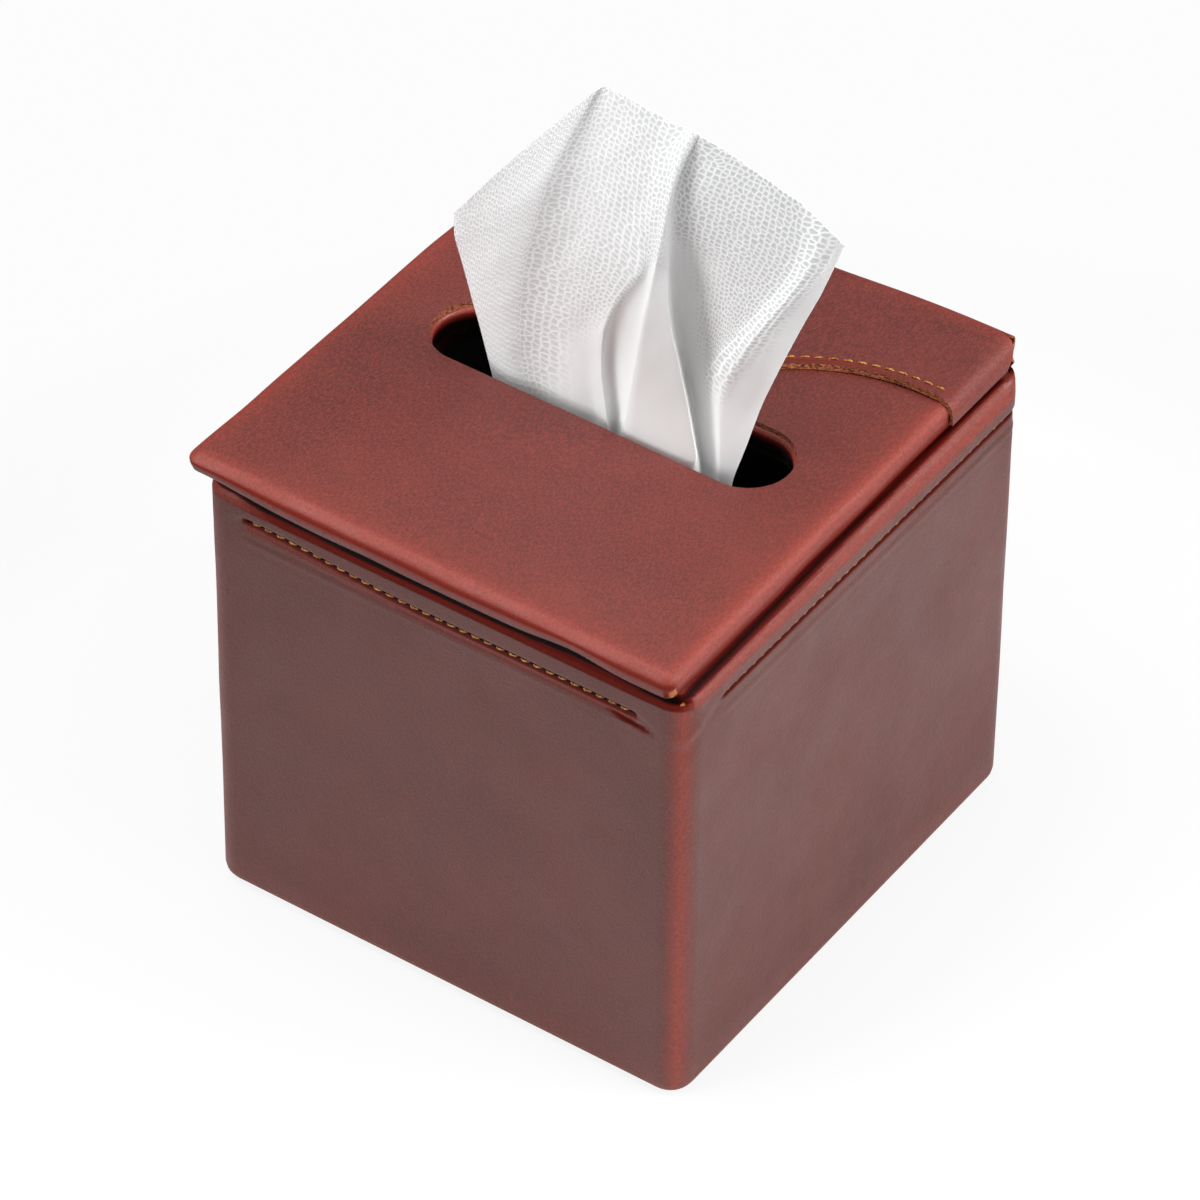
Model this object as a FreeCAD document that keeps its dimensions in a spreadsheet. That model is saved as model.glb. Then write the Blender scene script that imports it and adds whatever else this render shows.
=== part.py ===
import FreeCAD, Part
import math
import os
import re
import Sketcher
from FreeCAD import Placement, Rotation, Vector

# A leather-covered cube that holds a stack of paper tissues. Its lid is hinged along the back
# by a strip of leather and has a stadium slot that the next tissue stands out of.
# Millimetres. +Z is up, the front face looks along -Y and the origin is on the table, under
# the middle of the box.

# ---------------------------------------------------------------- driving sizes
SIZES = {
    "body_width": 144.0,            # over the leather, along X
    "body_depth": 150.0,            # over the leather, along Y
    "rim_height": 136.0,            # table to the top of the rolled rim
    "corner_radius": 7.0,           # upright corners of the box
    "foot_radius": 4.0,             # bottom edge of the box
    "rim_radius": 3.0,              # outer edge of the rolled rim
    "leather_thickness": 1.6,       # cover of the box and of the lid
    "strip_thickness": 1.4,         # hinge leather, shaved a little thinner
    "lining_thickness": 1.0,
    "board_thickness": 5.5,         # walls and base
    "lid_board_thickness": 5.5,
    "pad_proud": 0.4,               # base pad below the turned-under leather
    "turn_under": 14.0,             # width of the leather turned under the base
    "turn_in": 18.0,                # depth of the leather turned in over the rim
    "stitch_drop": 10.4,            # rim to the thread rows
    "board_gap": 3.0,               # between wall board and rim strip, where the thread passes
    "channel_height": 3.6,          # pressed channel that the thread lies in
    "channel_depth": 0.8,
    "front_row_left": 12.0,         # left face to the front row's first stitch
    "front_row_right": 16.0,        # right face to the front row's last stitch
    "side_row_front": 18.0,         # front face to the side rows' first stitch
    "stitch_pitch": 3.65,
    "stitch_length": 2.9,
    "thread_radius": 0.45,
    "lid_gap": 0.3,                 # closed lid above the rim
    "lid_overhang_front": 4.4,
    "lid_overhang_left": 1.2,
    "lid_corner_radius": 4.0,
    "lid_edge_radius": 3.0,
    "lid_margin": 14.0,             # width of the leather turned under the lid
    "slot_length": 105.0,
    "slot_width": 24.0,
    "slot_shift_x": -1.0,           # slot's middle from the middle of the box
    "slot_shift_y": -1.0,
    "collar_thickness": 1.2,        # leather that lines the slot's wall, outside the cut edge
    "collar_lip": 0.6,              # the same leather, inside the cover's cut edge
    "seam_reach": 32.0,             # back face to the hinge leather's edge at the lid's sides
    "seam_dip": 20.0,               # how much nearer the slot that edge comes in the middle
    "seam_half_span": 66.0,         # from the middle to where the edge runs straight
    "seam_inset": 3.1,              # edge to its row of stitches
    "stack_width": 105.0,           # folded tissues in the box
    "stack_depth": 105.0,
    "stack_height": 50.0,
    "stack_radius": 2.0,
    "paper_thickness": 0.8,         # the pulled tissue, two soft plies
    "tail_clearance": 0.3,          # tissue's lower end above the stack
    "tail_inset": 4.0,              # each side of the tail inside the waist
    "waist_left": 11.5,             # slot's left end to the tissue
    "waist_right": 15.0,            # tissue to the slot's right end
}

# Folds of the pulled tissue from left to right. In the slot, each has its share of the tissue's
# width and its depth towards the front. Half way up and at the top, it has its lean to the right
# from its place in the slot, its depth and its rise above the lid.
FOLDS = {
    "left_edge": ((0.00, 1.0), (-3.5, 3.0, 20.0), (-3.5, 5.0, 41.0)),
    "left_ridge": ((0.20, 3.5), (6.5, 8.5, 45.0), (26.0, 8.0, 99.5)),
    "left_valley": ((0.24, 0.0), (6.0, 1.0, 45.0), (24.0, 4.0, 98.0)),
    "middle_ridge": ((0.32, 3.0), (8.0, 6.5, 45.0), (20.0, 7.0, 100.5)),
    "hollow_lip": ((0.53, 5.0), (8.0, 8.5, 45.0), (21.0, 9.0, 100.0)),
    "hollow": ((0.56, -0.5), (10.0, 5.0, 45.0), (21.0, 8.0, 100.0)),
    "main_ridge": ((0.64, 6.5), (11.0, 12.0, 45.0), (19.5, 11.0, 100.5)),
    "front_crease": ((0.82, 6.0), (0.5, 7.0, 45.0), (9.0, 7.0, 96.5)),
    "right_hollow": ((0.86, -2.0), (1.5, -3.0, 45.0), (15.0, 6.0, 92.5)),
    "right_ridge": ((0.95, 5.0), (11.0, 10.0, 45.0), (33.5, 8.0, 86.5)),
    "right_edge": ((1.00, -2.0), (16.5, 0.5, 45.0), (31.5, 7.0, 84.5)),
}

# Places that follow from the sizes.
PLACES = {
    "core_x": "body_width / 2 - leather_thickness",
    "core_front": "leather_thickness - body_depth / 2",
    "core_back": "body_depth / 2 - leather_thickness",
    "strip_face": "body_depth / 2 - leather_thickness - strip_thickness",
    "inner_x": "core_x - board_thickness",
    "inner_front": "core_front + board_thickness",
    "inner_back": "strip_face - board_thickness",
    "lining_back": "inner_back - lining_thickness",
    "turn_x": "inner_x - leather_thickness",
    "turn_front": "inner_front + leather_thickness",
    "board_floor": "pad_proud + leather_thickness",
    "base_top": "board_floor + board_thickness",
    "floor_top": "base_top + lining_thickness",
    "stack_top": "floor_top + stack_height",
    "rim_under": "rim_height - leather_thickness",
    "row_height": "rim_height - stitch_drop",
    "wall_top": "row_height - board_gap / 2",
    "rim_strip_foot": "row_height + board_gap / 2",
    "turn_in_foot": "rim_height - turn_in",
    "pad_x": "body_width / 2 - turn_under",
    "pad_y": "body_depth / 2 - turn_under",
    "row_back": "body_depth / 2 - corner_radius",
    "row_corner_x": "body_width / 2 - corner_radius",
    "lid_under": "rim_height + lid_gap",
    "lid_core_under": "lid_under + leather_thickness",
    "lid_core_top": "lid_core_under + lid_board_thickness",
    "lid_top": "lid_core_top + leather_thickness",
    "strip_top": "lid_top + strip_thickness",
    "lid_left": "-body_width / 2 - lid_overhang_left",
    "lid_right": "body_width / 2",
    "lid_front": "-body_depth / 2 - lid_overhang_front",
    "lid_back": "body_depth / 2 - strip_thickness",
    "seam_side": "body_depth / 2 - seam_reach",
    "slot_half": "(slot_length - slot_width) / 2",
}

doc = FreeCAD.newDocument("TissueBox")

sheet = doc.addObject("Spreadsheet::Sheet", "Sizes")
for line, (alias, value) in enumerate(SIZES.items(), 1):
    sheet.set(f"A{line}", alias)
    sheet.set(f"B{line}", str(value))
    sheet.setAlias(f"B{line}", alias)

places = doc.addObject("App::VarSet", "Places")
for name in PLACES:
    places.addProperty("App::PropertyFloat", name, "Places")


def bound(text):
    """The expression with every size and place in it pointed at the object that holds it."""
    def pointed(word):
        owner = "Sizes" if word.group() in SIZES else "Places"
        return f"{owner}.{word.group()}"
    return re.sub(r"[a-z]+(?:_[a-z]+)+", pointed, text)


for name, text in PLACES.items():
    places.setExpression(name, bound(text))
doc.recompute()


def size(name):
    """The present value of a size or place, in millimetres."""
    return float(sheet.get(name)) if name in SIZES else getattr(places, name)


# ---------------------------------------------------------------- building blocks
def plate(name, low, high):
    """A box between two opposite corners, each given as three expressions."""
    box = doc.addObject("Part::Box", name)
    for side, axis, start, end in zip(("Length", "Width", "Height"), "xyz", low, high):
        box.setExpression(side, bound(f"({end}) - ({start})"))
        box.setExpression(f"Placement.Base.{axis}", bound(start))
    return box


def cut(name, base, *tools):
    """What is left of base once every tool is taken away."""
    result = doc.addObject("Part::Cut", name)
    result.Base = base
    result.Tool = tools[0] if len(tools) == 1 else fuse(f"{name}_tools", *tools)
    return result


def fuse(name, *shapes):
    """The shapes as one."""
    result = doc.addObject("Part::MultiFuse", name)
    result.Shapes = list(shapes)
    return result


def common(name, first, second):
    """What two shapes share."""
    result = doc.addObject("Part::Common", name)
    result.Base, result.Tool = first, second
    return result


def group(name, shapes):
    """Separate solids kept together as one sub-part."""
    result = doc.addObject("Part::Compound", name)
    result.Links = list(shapes)
    return result


def rounded(body, name, radius, wanted):
    """A fillet on those edges of the body's last feature that are wanted."""
    before = body.Tip
    fillet = body.newObject("PartDesign::Fillet", name)
    edges = enumerate(before.Shape.Edges, 1)
    fillet.Base = (before, [f"Edge{number}" for number, edge in edges if wanted(edge.BoundBox)])
    fillet.setExpression("Radius", bound(radius))
    doc.recompute()


def rounded_block(name, low, high, upright, top=None, bottom=None):
    """A padded rectangle between two corners, with rounded upright, top and bottom edges."""
    body = doc.addObject("PartDesign::Body", name)
    for axis, start in zip("xyz", low):
        body.setExpression(f"Placement.Base.{axis}", bound(start))
    across, deep, tall = (f"({end}) - ({start})" for start, end in zip(low, high))
    sketch = body.newObject("Sketcher::SketchObject", f"{name}_outline")
    ground = next(o for o in body.Origin.OriginFeatures if o.Role == "XY_Plane")
    sketch.AttachmentSupport = [(ground, "")]
    sketch.MapMode = "FlatFace"
    corners = [Vector(0, 0), Vector(100, 0), Vector(100, 100), Vector(0, 100)]
    for start, end in zip(corners, corners[1:] + corners[:1]):
        sketch.addGeometry(Part.LineSegment(start, end), False)
    for side in range(4):
        sketch.addConstraint(Sketcher.Constraint("Coincident", side, 2, (side + 1) % 4, 1))
        sketch.addConstraint(Sketcher.Constraint(("Horizontal", "Vertical")[side % 2], side))
    sketch.addConstraint(Sketcher.Constraint("Coincident", 0, 1, -1, 1))
    for index, direction, extent in ((0, "DistanceX", across), (1, "DistanceY", deep)):
        number = sketch.addConstraint(Sketcher.Constraint(direction, index, 1, index, 2, 100.0))
        sketch.renameConstraint(number, f"side_{direction}")
        sketch.setExpression(f"Constraints.side_{direction}", bound(extent))
    pad = body.newObject("PartDesign::Pad", f"{name}_pad")
    pad.Profile = sketch
    pad.setExpression("Length", bound(tall))
    doc.recompute()
    flat = 1e-6
    height = pad.Shape.BoundBox.ZMax
    rounded(body, f"{name}_upright", upright, lambda box: box.ZLength > flat)
    if top:
        rounded(body, f"{name}_top", top, lambda box: box.ZMin > height - flat)
    if bottom:
        rounded(body, f"{name}_bottom", bottom, lambda box: box.ZMax < flat)
    return body


def stadium(name, margin, low, high):
    """An upright prism of the slot's outline grown by a margin, between two heights."""
    radius = f"slot_width / 2 + ({margin})"
    straight = plate(f"{name}_straight",
                     ("slot_shift_x - slot_half", f"slot_shift_y - ({radius})", low),
                     ("slot_shift_x + slot_half", f"slot_shift_y + {radius}", high))
    ends = []
    for side, sign in (("left", "-"), ("right", "+")):
        end = doc.addObject("Part::Cylinder", f"{name}_{side}_end")
        end.setExpression("Radius", bound(radius))
        end.setExpression("Height", bound(f"({high}) - ({low})"))
        end.setExpression("Placement.Base.x", bound(f"slot_shift_x {sign} slot_half"))
        end.setExpression("Placement.Base.y", bound("slot_shift_y"))
        end.setExpression("Placement.Base.z", bound(low))
        ends.append(end)
    return fuse(name, straight, *ends)


def shaped(name, shape):
    """A feature whose shape is worked out by a formula."""
    feature = doc.addObject("Part::Feature", name)
    feature.Shape = shape
    return feature


# ---------------------------------------------------------------- box: boards and linings
core = rounded_block("core_block", ("-core_x", "core_front", "board_floor"),
                     ("core_x", "core_back", "rim_under"),
                     upright="corner_radius - leather_thickness",
                     top="rim_radius - leather_thickness",
                     bottom="foot_radius - leather_thickness")

WALLS = {
    "front": (("-core_x", "core_front"), ("core_x", "inner_front")),
    "back": (("-core_x", "inner_back"), ("core_x", "strip_face")),
    "left": (("-core_x", "inner_front"), ("-inner_x", "inner_back")),
    "right": (("inner_x", "inner_front"), ("core_x", "inner_back")),
}
boards = []
rim_pieces = []
for side, (low, high) in WALLS.items():
    wall = plate(f"{side}_wall", (*low, "board_floor"), (*high, "wall_top"))
    boards.append(common(f"{side}_board", wall, core))
    edging = plate(f"{side}_edging", (*low, "rim_strip_foot"), (*high, "rim_under"))
    rim_pieces.append(common(f"{side}_rim_strip", edging, core))
rim_strips = group("rim_strips", rim_pieces)
base_board = plate("base_board", ("-inner_x", "inner_front", "board_floor"),
                   ("inner_x", "inner_back", "base_top"))
base_pad = plate("base_pad", ("-pad_x", "-pad_y", "0"), ("pad_x", "pad_y", "board_floor"))

floor_lining = plate("floor_lining", ("-inner_x", "inner_front", "base_top"),
                     ("inner_x", "inner_back", "floor_top"))
front_lining = plate("front_lining", ("-inner_x", "inner_front", "floor_top"),
                     ("inner_x", "inner_front + lining_thickness", "turn_in_foot"))
left_lining = plate("left_lining",
                    ("-inner_x", "inner_front + lining_thickness", "floor_top"),
                    ("lining_thickness - inner_x", "lining_back", "turn_in_foot"))
right_lining = plate("right_lining",
                     ("inner_x - lining_thickness", "inner_front + lining_thickness",
                      "floor_top"),
                     ("inner_x", "lining_back", "turn_in_foot"))
# The back lining folds over the top of the back board, where the cover isn't rolled in.
back_lining = fuse("back_lining",
                   plate("back_lining_wall", ("-inner_x", "lining_back", "floor_top"),
                         ("inner_x", "inner_back", "rim_under")),
                   plate("back_lining_fold", ("-inner_x", "lining_back", "rim_under"),
                         ("inner_x", "strip_face", "rim_under + lining_thickness")))

# ---------------------------------------------------------------- box: leather
# The hinge leather's lower half is glued over the whole back board, under the cover.
hinge_column = rounded_block("hinge_column", ("-core_x", "core_front", "board_floor"),
                             ("core_x", "core_back", "rim_height"),
                             upright="corner_radius - leather_thickness",
                             bottom="foot_radius - leather_thickness")
hinge_back_leather = common("hinge_back_leather",
                            plate("hinge_back_sheet", ("-core_x", "strip_face", "board_floor"),
                                  ("core_x", "core_back", "rim_height")),
                            hinge_column)

cover_block = rounded_block("cover_block", ("-body_width / 2", "-body_depth / 2", "pad_proud"),
                            ("body_width / 2", "body_depth / 2", "rim_height"),
                            upright="corner_radius", top="rim_radius", bottom="foot_radius")
mouth = plate("mouth", ("-turn_x", "turn_front", "board_floor"),
              ("turn_x", "lining_back", "rim_height"))
back_ledge = plate("back_ledge", ("-inner_x", "lining_back", "board_floor"),
                   ("inner_x", "strip_face", "rim_height"))
base_opening = plate("base_opening", ("-pad_x", "-pad_y", "pad_proud"),
                     ("pad_x", "pad_y", "board_floor"))
channel_low = "row_height - channel_height / 2"
channel_high = "row_height + channel_height / 2"
channels = [
    plate("front_channel",
          ("front_row_left - body_width / 2", "-body_depth / 2", channel_low),
          ("body_width / 2 - front_row_right", "channel_depth - body_depth / 2",
           channel_high)),
    plate("back_channel", ("-row_corner_x", "body_depth / 2 - channel_depth", channel_low),
          ("row_corner_x", "body_depth / 2", channel_high)),
    plate("left_channel", ("-body_width / 2", "side_row_front - body_depth / 2", channel_low),
          ("channel_depth - body_width / 2", "row_back", channel_high)),
    plate("right_channel",
          ("body_width / 2 - channel_depth", "side_row_front - body_depth / 2", channel_low),
          ("body_width / 2", "row_back", channel_high)),
]
cover_shell = cut("cover_shell", cover_block, core, hinge_back_leather, mouth, back_ledge,
                  base_opening, *channels)
turned_in = cut("turned_in",
                plate("turned_in_block", ("-inner_x", "inner_front", "turn_in_foot"),
                      ("inner_x", "lining_back", "rim_under")),
                mouth)
body_leather = fuse("body_leather", cover_shell, turned_in)

tissue_stack = rounded_block("tissue_stack",
                             ("-stack_width / 2", "-stack_depth / 2", "floor_top"),
                             ("stack_width / 2", "stack_depth / 2", "stack_top"),
                             upright="stack_radius", top="stack_radius")

# ---------------------------------------------------------------- lid
lid_corner_low = ("lid_left", "lid_front", "lid_under")
lid_corner_high = ("lid_right", "lid_back", "lid_top")
lid_block = rounded_block("lid_block", lid_corner_low, lid_corner_high,
                          upright="lid_corner_radius", top="lid_edge_radius",
                          bottom="lid_edge_radius")
lid_core = rounded_block("lid_core",
                         ("lid_left + leather_thickness", "lid_front + leather_thickness",
                          "lid_core_under"),
                         ("lid_right - leather_thickness", "lid_back - leather_thickness",
                          "lid_core_top"),
                         upright="lid_corner_radius - leather_thickness",
                         top="lid_edge_radius - leather_thickness",
                         bottom="lid_edge_radius - leather_thickness")
slot_hole = stadium("slot_hole", "0", "lid_under", "lid_top")
collar_block = stadium("collar_block", "collar_thickness", "lid_under", "lid_core_top")
lid_opening = plate("lid_opening",
                    ("lid_left + lid_margin", "lid_front + lid_margin", "lid_under"),
                    ("lid_right - lid_margin", "lid_back - lid_margin", "lid_core_under"))
lid_board = cut("lid_board", lid_core, collar_block)
lid_lining = cut("lid_lining", lid_opening, collar_block)
slot_collar = cut("slot_collar", collar_block,
                  stadium("collar_bore", "-collar_lip", "lid_under", "lid_core_top"))
lid_leather = cut("lid_leather", lid_block, lid_core, lid_opening, slot_hole)


def seam_edges(shift):
    """The hinge leather's curved edge, moved back by shift: two shoulders and a dip between."""
    span, dip = size("seam_half_span"), size("seam_dip")
    radius = ((span / 2) ** 2 + (dip / 2) ** 2) / dip
    side = size("seam_side") + shift
    shoulder, hollow = radius + shift, radius - shift
    middle = size("slot_shift_x")
    turn = math.asin(span / 2 / radius)

    def on_shoulder(sign, angle):
        return Vector(middle + sign * (span - shoulder * math.sin(angle)),
                      side - shoulder + shoulder * math.cos(angle))

    def in_hollow(angle):
        return Vector(middle + hollow * math.sin(angle),
                      side - shift - dip + radius - hollow * math.cos(angle))

    left = Vector(size("lid_left") - size("strip_thickness"), side)
    right = Vector(size("lid_right") + size("strip_thickness"), side)
    return [
        Part.LineSegment(left, on_shoulder(-1, 0)),
        Part.Arc(on_shoulder(-1, 0), on_shoulder(-1, turn / 2), in_hollow(-turn)),
        Part.Arc(in_hollow(-turn), in_hollow(0), in_hollow(turn)),
        Part.Arc(in_hollow(turn), on_shoulder(1, turn / 2), on_shoulder(1, 0)),
        Part.LineSegment(on_shoulder(1, 0), right),
    ]


def behind_seam():
    """The prism behind the curved edge, as high as the lid with the hinge leather on it."""
    edge = seam_edges(0)
    left, right = edge[0].StartPoint, edge[-1].EndPoint
    back = size("body_depth") / 2
    corners = [right, Vector(right.x, back), Vector(left.x, back), left]
    sides = [Part.LineSegment(a, b) for a, b in zip(corners, corners[1:])]
    outline = Part.Wire([curve.toShape() for curve in edge + sides])
    outline.translate(Vector(0, 0, size("lid_under")))
    return Part.Face(outline).extrude(Vector(0, 0, size("strip_top") - size("lid_under")))


hinge_outer = rounded_block("hinge_outer",
                            ("lid_left - strip_thickness", "lid_front - strip_thickness",
                             "lid_under"),
                            ("lid_right + strip_thickness", "body_depth / 2", "strip_top"),
                            upright="lid_corner_radius + strip_thickness",
                            top="lid_edge_radius + strip_thickness")
lid_envelope = rounded_block("lid_envelope", lid_corner_low, lid_corner_high,
                             upright="lid_corner_radius", top="lid_edge_radius")
# The side flaps end where the lid's lower edge begins to round.
flap_foot = plate("flap_foot",
                  ("lid_left - strip_thickness", "lid_front", "lid_under"),
                  ("lid_right + strip_thickness", "lid_back - lid_corner_radius",
                   "lid_under + lid_edge_radius"))
lid_hinge_leather = cut("lid_hinge_leather",
                        common("hinge_rear", hinge_outer, shaped("behind_seam", behind_seam())),
                        lid_envelope, flap_foot)


# ---------------------------------------------------------------- thread
def stitch(middle, along, outward):
    """One stitch: a half-round thread whose flat side lies on the leather."""
    radius, length = size("thread_radius"), size("stitch_length")
    arch = Part.Arc(Vector(0, -radius, 0), Vector(0, 0, radius), Vector(0, radius, 0))
    chord = Part.LineSegment(Vector(0, radius, 0), Vector(0, -radius, 0))
    half_round = Part.Face(Part.Wire([arch.toShape(), chord.toShape()]))
    half_round.translate(Vector(-length / 2, 0, 0))
    thread = half_round.extrude(Vector(length, 0, 0))
    thread.Placement = Placement(middle, Rotation(along, outward.cross(along), outward, "XZY"))
    return thread


def stitch_row(name, route, outward):
    """Stitches at an even pitch along a wire, on a face that looks outward."""
    count = int(route.Length / size("stitch_pitch"))
    knots = route.discretize(Number=count + 1)
    stitches = [stitch((start + end) / 2, (end - start).normalize(), outward)
                for start, end in zip(knots, knots[1:])]
    return shaped(name, Part.makeCompound(stitches))


def straight_row(name, start, end, outward):
    """A row on one wall, between two points of the pressed channel's floor."""
    line = Part.LineSegment(Vector(*start, size("row_height")), Vector(*end, size("row_height")))
    return stitch_row(name, Part.Wire(line.toShape()), outward)


channel_x = size("body_width") / 2 - size("channel_depth")
channel_y = size("body_depth") / 2 - size("channel_depth")
side_start = size("side_row_front") - size("body_depth") / 2
front_stitches = straight_row(
    "front_stitches", (size("front_row_left") - size("body_width") / 2, -channel_y),
    (size("body_width") / 2 - size("front_row_right"), -channel_y), Vector(0, -1, 0))
back_stitches = straight_row("back_stitches", (-size("row_corner_x"), channel_y),
                             (size("row_corner_x"), channel_y), Vector(0, 1, 0))
left_stitches = straight_row("left_stitches", (-channel_x, side_start),
                             (-channel_x, size("row_back")), Vector(-1, 0, 0))
right_stitches = straight_row("right_stitches", (channel_x, side_start),
                              (channel_x, size("row_back")), Vector(1, 0, 0))


def seam_route():
    """The thread's path on top of the hinge leather, clear of the lid's rounded sides."""
    bend = size("lid_edge_radius") + size("strip_thickness") + size("stitch_length") / 2
    edges = seam_edges(size("seam_inset"))
    first, last = edges[0], edges[-1]
    start = Vector(first.StartPoint.x + bend, first.StartPoint.y)
    end = Vector(last.EndPoint.x - bend, last.EndPoint.y)
    edges[0] = Part.LineSegment(start, first.EndPoint)
    edges[-1] = Part.LineSegment(last.StartPoint, end)
    route = Part.Wire([edge.toShape() for edge in edges])
    route.translate(Vector(0, 0, size("strip_top")))
    return route


seam_stitches = stitch_row("seam_stitches", seam_route(), Vector(0, 0, 1))


# ---------------------------------------------------------------- the tissue in the slot
def fold_line(share, depth, halfway, top):
    """One fold's corners, from the tissue's lower end through the slot to its upper edge."""
    slot_x, slot_y, slot_reach = size("slot_shift_x"), size("slot_shift_y"), size("slot_length") / 2
    left = slot_x - slot_reach + size("waist_left")
    right = slot_x + slot_reach - size("waist_right")
    mouth = Vector(left + share * (right - left), slot_y - depth, size("lid_top"))
    inset = size("tail_inset") * (1 - 2 * share)
    tail = Vector(mouth.x + inset, mouth.y, size("stack_top") + size("tail_clearance"))
    return [tail, mouth] + [Vector(mouth.x + lean, slot_y - forward, mouth.z + rise)
                            for lean, forward, rise in (halfway, top)]


def tissue():
    """The folded sheet: flat facets from fold to fold, in front and again behind."""
    lines = [fold_line(*slot_place, halfway, top) for slot_place, halfway, top in FOLDS.values()]
    through = Vector(0, size("paper_thickness"), 0)
    facets = []
    for near, far in zip(lines, lines[1:]):
        for row in range(len(near) - 1):
            for corners in ((near[row], far[row], far[row + 1]),
                            (near[row], far[row + 1], near[row + 1])):
                facets.append(Part.Face(Part.makePolygon([*corners, corners[0]])))
    edge = (lines[0] + [line[-1] for line in lines[1:]] + lines[-1][-2::-1]
            + [line[0] for line in lines[-2::-1]])
    rims = [Part.makeLine(start, end).extrude(through) for start, end in zip(edge, edge[1:])]
    shell = Part.Shell(facets + [facet.translated(through) for facet in facets] + rims)
    shell.sewShape()
    paper = Part.Solid(shell)
    if paper.Volume < 0:
        paper.reverse()
    return paper.translated(through * -0.5)


pulled_tissue = shaped("pulled_tissue", tissue())

# ---------------------------------------------------------------- check and export
SUBPARTS = [
    *boards, rim_strips, base_board, base_pad, floor_lining, front_lining, back_lining,
    left_lining, right_lining, hinge_back_leather, body_leather, tissue_stack,
    front_stitches, back_stitches, left_stitches, right_stitches,
    lid_board, lid_leather, lid_hinge_leather, lid_lining, slot_collar, seam_stitches,
    pulled_tissue,
]
doc.recompute()
failed = [o.Label for o in doc.Objects if {"Invalid", "Error"} & set(o.State)]
failed += [o.Label for o in SUBPARTS if o.Shape.isNull() or not o.Shape.isValid()]
if failed:
    raise RuntimeError(f"these objects failed: {failed}")
os.makedirs("parts", exist_ok=True)
for part in SUBPARTS:
    part.Shape.exportStep(f"parts/{part.Label}.step")
    box = part.Shape.BoundBox
    print(f"{part.Label:20} solids {len(part.Shape.Solids):3}  volume {part.Shape.Volume:10.1f}"
          f"  x {box.XMin:7.2f} {box.XMax:7.2f}  y {box.YMin:7.2f} {box.YMax:7.2f}"
          f"  z {box.ZMin:7.2f} {box.ZMax:7.2f}")
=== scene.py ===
"""Dresses the leather tissue box: cover, lid, hinge leather, thread, linings and paper.

Lengths in the classes are millimetres and are turned to metres where a mesh is made. +Z is up,
the front of the box looks along -Y and the origin is on the table under its middle.
"""

import logging
import math
from contextlib import contextmanager
from dataclasses import dataclass, field, replace
from enum import Enum
from typing import Callable, Iterator, Sequence

import bmesh
import bpy
import numpy as np
from mathutils import Matrix, Vector


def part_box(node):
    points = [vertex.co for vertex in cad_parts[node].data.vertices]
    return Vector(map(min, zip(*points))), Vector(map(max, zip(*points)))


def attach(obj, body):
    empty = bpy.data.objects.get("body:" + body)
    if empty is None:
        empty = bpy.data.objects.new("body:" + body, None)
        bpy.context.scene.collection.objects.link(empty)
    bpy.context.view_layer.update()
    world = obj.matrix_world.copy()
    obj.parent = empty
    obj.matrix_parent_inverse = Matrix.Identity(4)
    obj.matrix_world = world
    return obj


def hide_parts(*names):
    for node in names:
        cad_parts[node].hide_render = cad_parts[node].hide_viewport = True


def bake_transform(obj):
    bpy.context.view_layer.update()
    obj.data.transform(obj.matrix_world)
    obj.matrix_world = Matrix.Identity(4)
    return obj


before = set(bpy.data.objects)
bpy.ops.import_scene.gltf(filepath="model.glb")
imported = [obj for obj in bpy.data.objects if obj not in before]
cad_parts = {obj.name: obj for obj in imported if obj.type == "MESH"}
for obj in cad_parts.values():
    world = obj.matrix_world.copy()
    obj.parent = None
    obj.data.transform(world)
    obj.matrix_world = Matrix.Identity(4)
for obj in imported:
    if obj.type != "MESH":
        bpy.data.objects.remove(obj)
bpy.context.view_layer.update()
LOG = logging.getLogger("tissue_box")
MM = 0.001
HALF_WIDTH = 72.0
HALF_DEPTH = 75.0
RIM_Z = 136.0
ROW_Z = 125.6
STITCH_PITCH = 3.65
LEATHER = 1.6
Colour = tuple[float, float, float, float]
Formula = Callable[[np.ndarray], np.ndarray]


class Element(Enum):
    """What an edit-mode selection holds."""

    EDGES = "EDGE"
    FACES = "FACE"


class Wall(Enum):
    """The four upright walls of the box."""

    FRONT = "front"
    RIGHT = "right"
    BACK = "back"
    LEFT = "left"


def srgb(red: int, green: int, blue: int) -> Colour:
    """The linear colour of three display values from 0 to 255."""
    def linear(value: float) -> float:
        """One display value as linear light."""
        part = value / 255
        return part / 12.92 if part <= 0.04045 else ((part + 0.055) / 1.055) ** 2.4
    return (linear(red), linear(green), linear(blue), 1.0)


def ease(value: np.ndarray, start: float, end: float) -> np.ndarray:
    """A smooth step from 0 at start to 1 at end.

    Args:
        value: what the step depends on.
        start: where it leaves 0.
        end: where it reaches 1.

    Returns:
        The step's height at each value.
    """
    share = np.clip((value - start) / (end - start), 0.0, 1.0)
    return share * share * (3 - 2 * share)


def hump(value: np.ndarray, middle: float, width: float) -> np.ndarray:
    """A bell of height 1 around its middle."""
    return np.exp(-((value - middle) / width) ** 2)


def ripple(*coordinates: np.ndarray) -> np.ndarray:
    """Slow waves with no pattern to them, between about -1 and 1, for hand-made surfaces."""
    total = np.zeros_like(coordinates[0])
    for number, (length, turn) in enumerate(((41.0, 0.3), (29.0, 1.9), (17.0, 4.1), (11.0, 5.2))):
        phase = sum(c * math.cos(turn + 2.1 * k) for k, c in enumerate(coordinates))
        total += np.sin(2 * math.pi * phase / length + turn * 3) / (1.5 + number)
    return total / 1.6


def row_height(x: np.ndarray, y: np.ndarray) -> np.ndarray:
    """The height of the walls' thread rows: level, but for the front's, which climbs leftwards."""
    return ROW_Z + ease(-y, 69.0, 74.0) * (2.6 * ease(-x, 5, 58) - 1.5)


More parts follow.
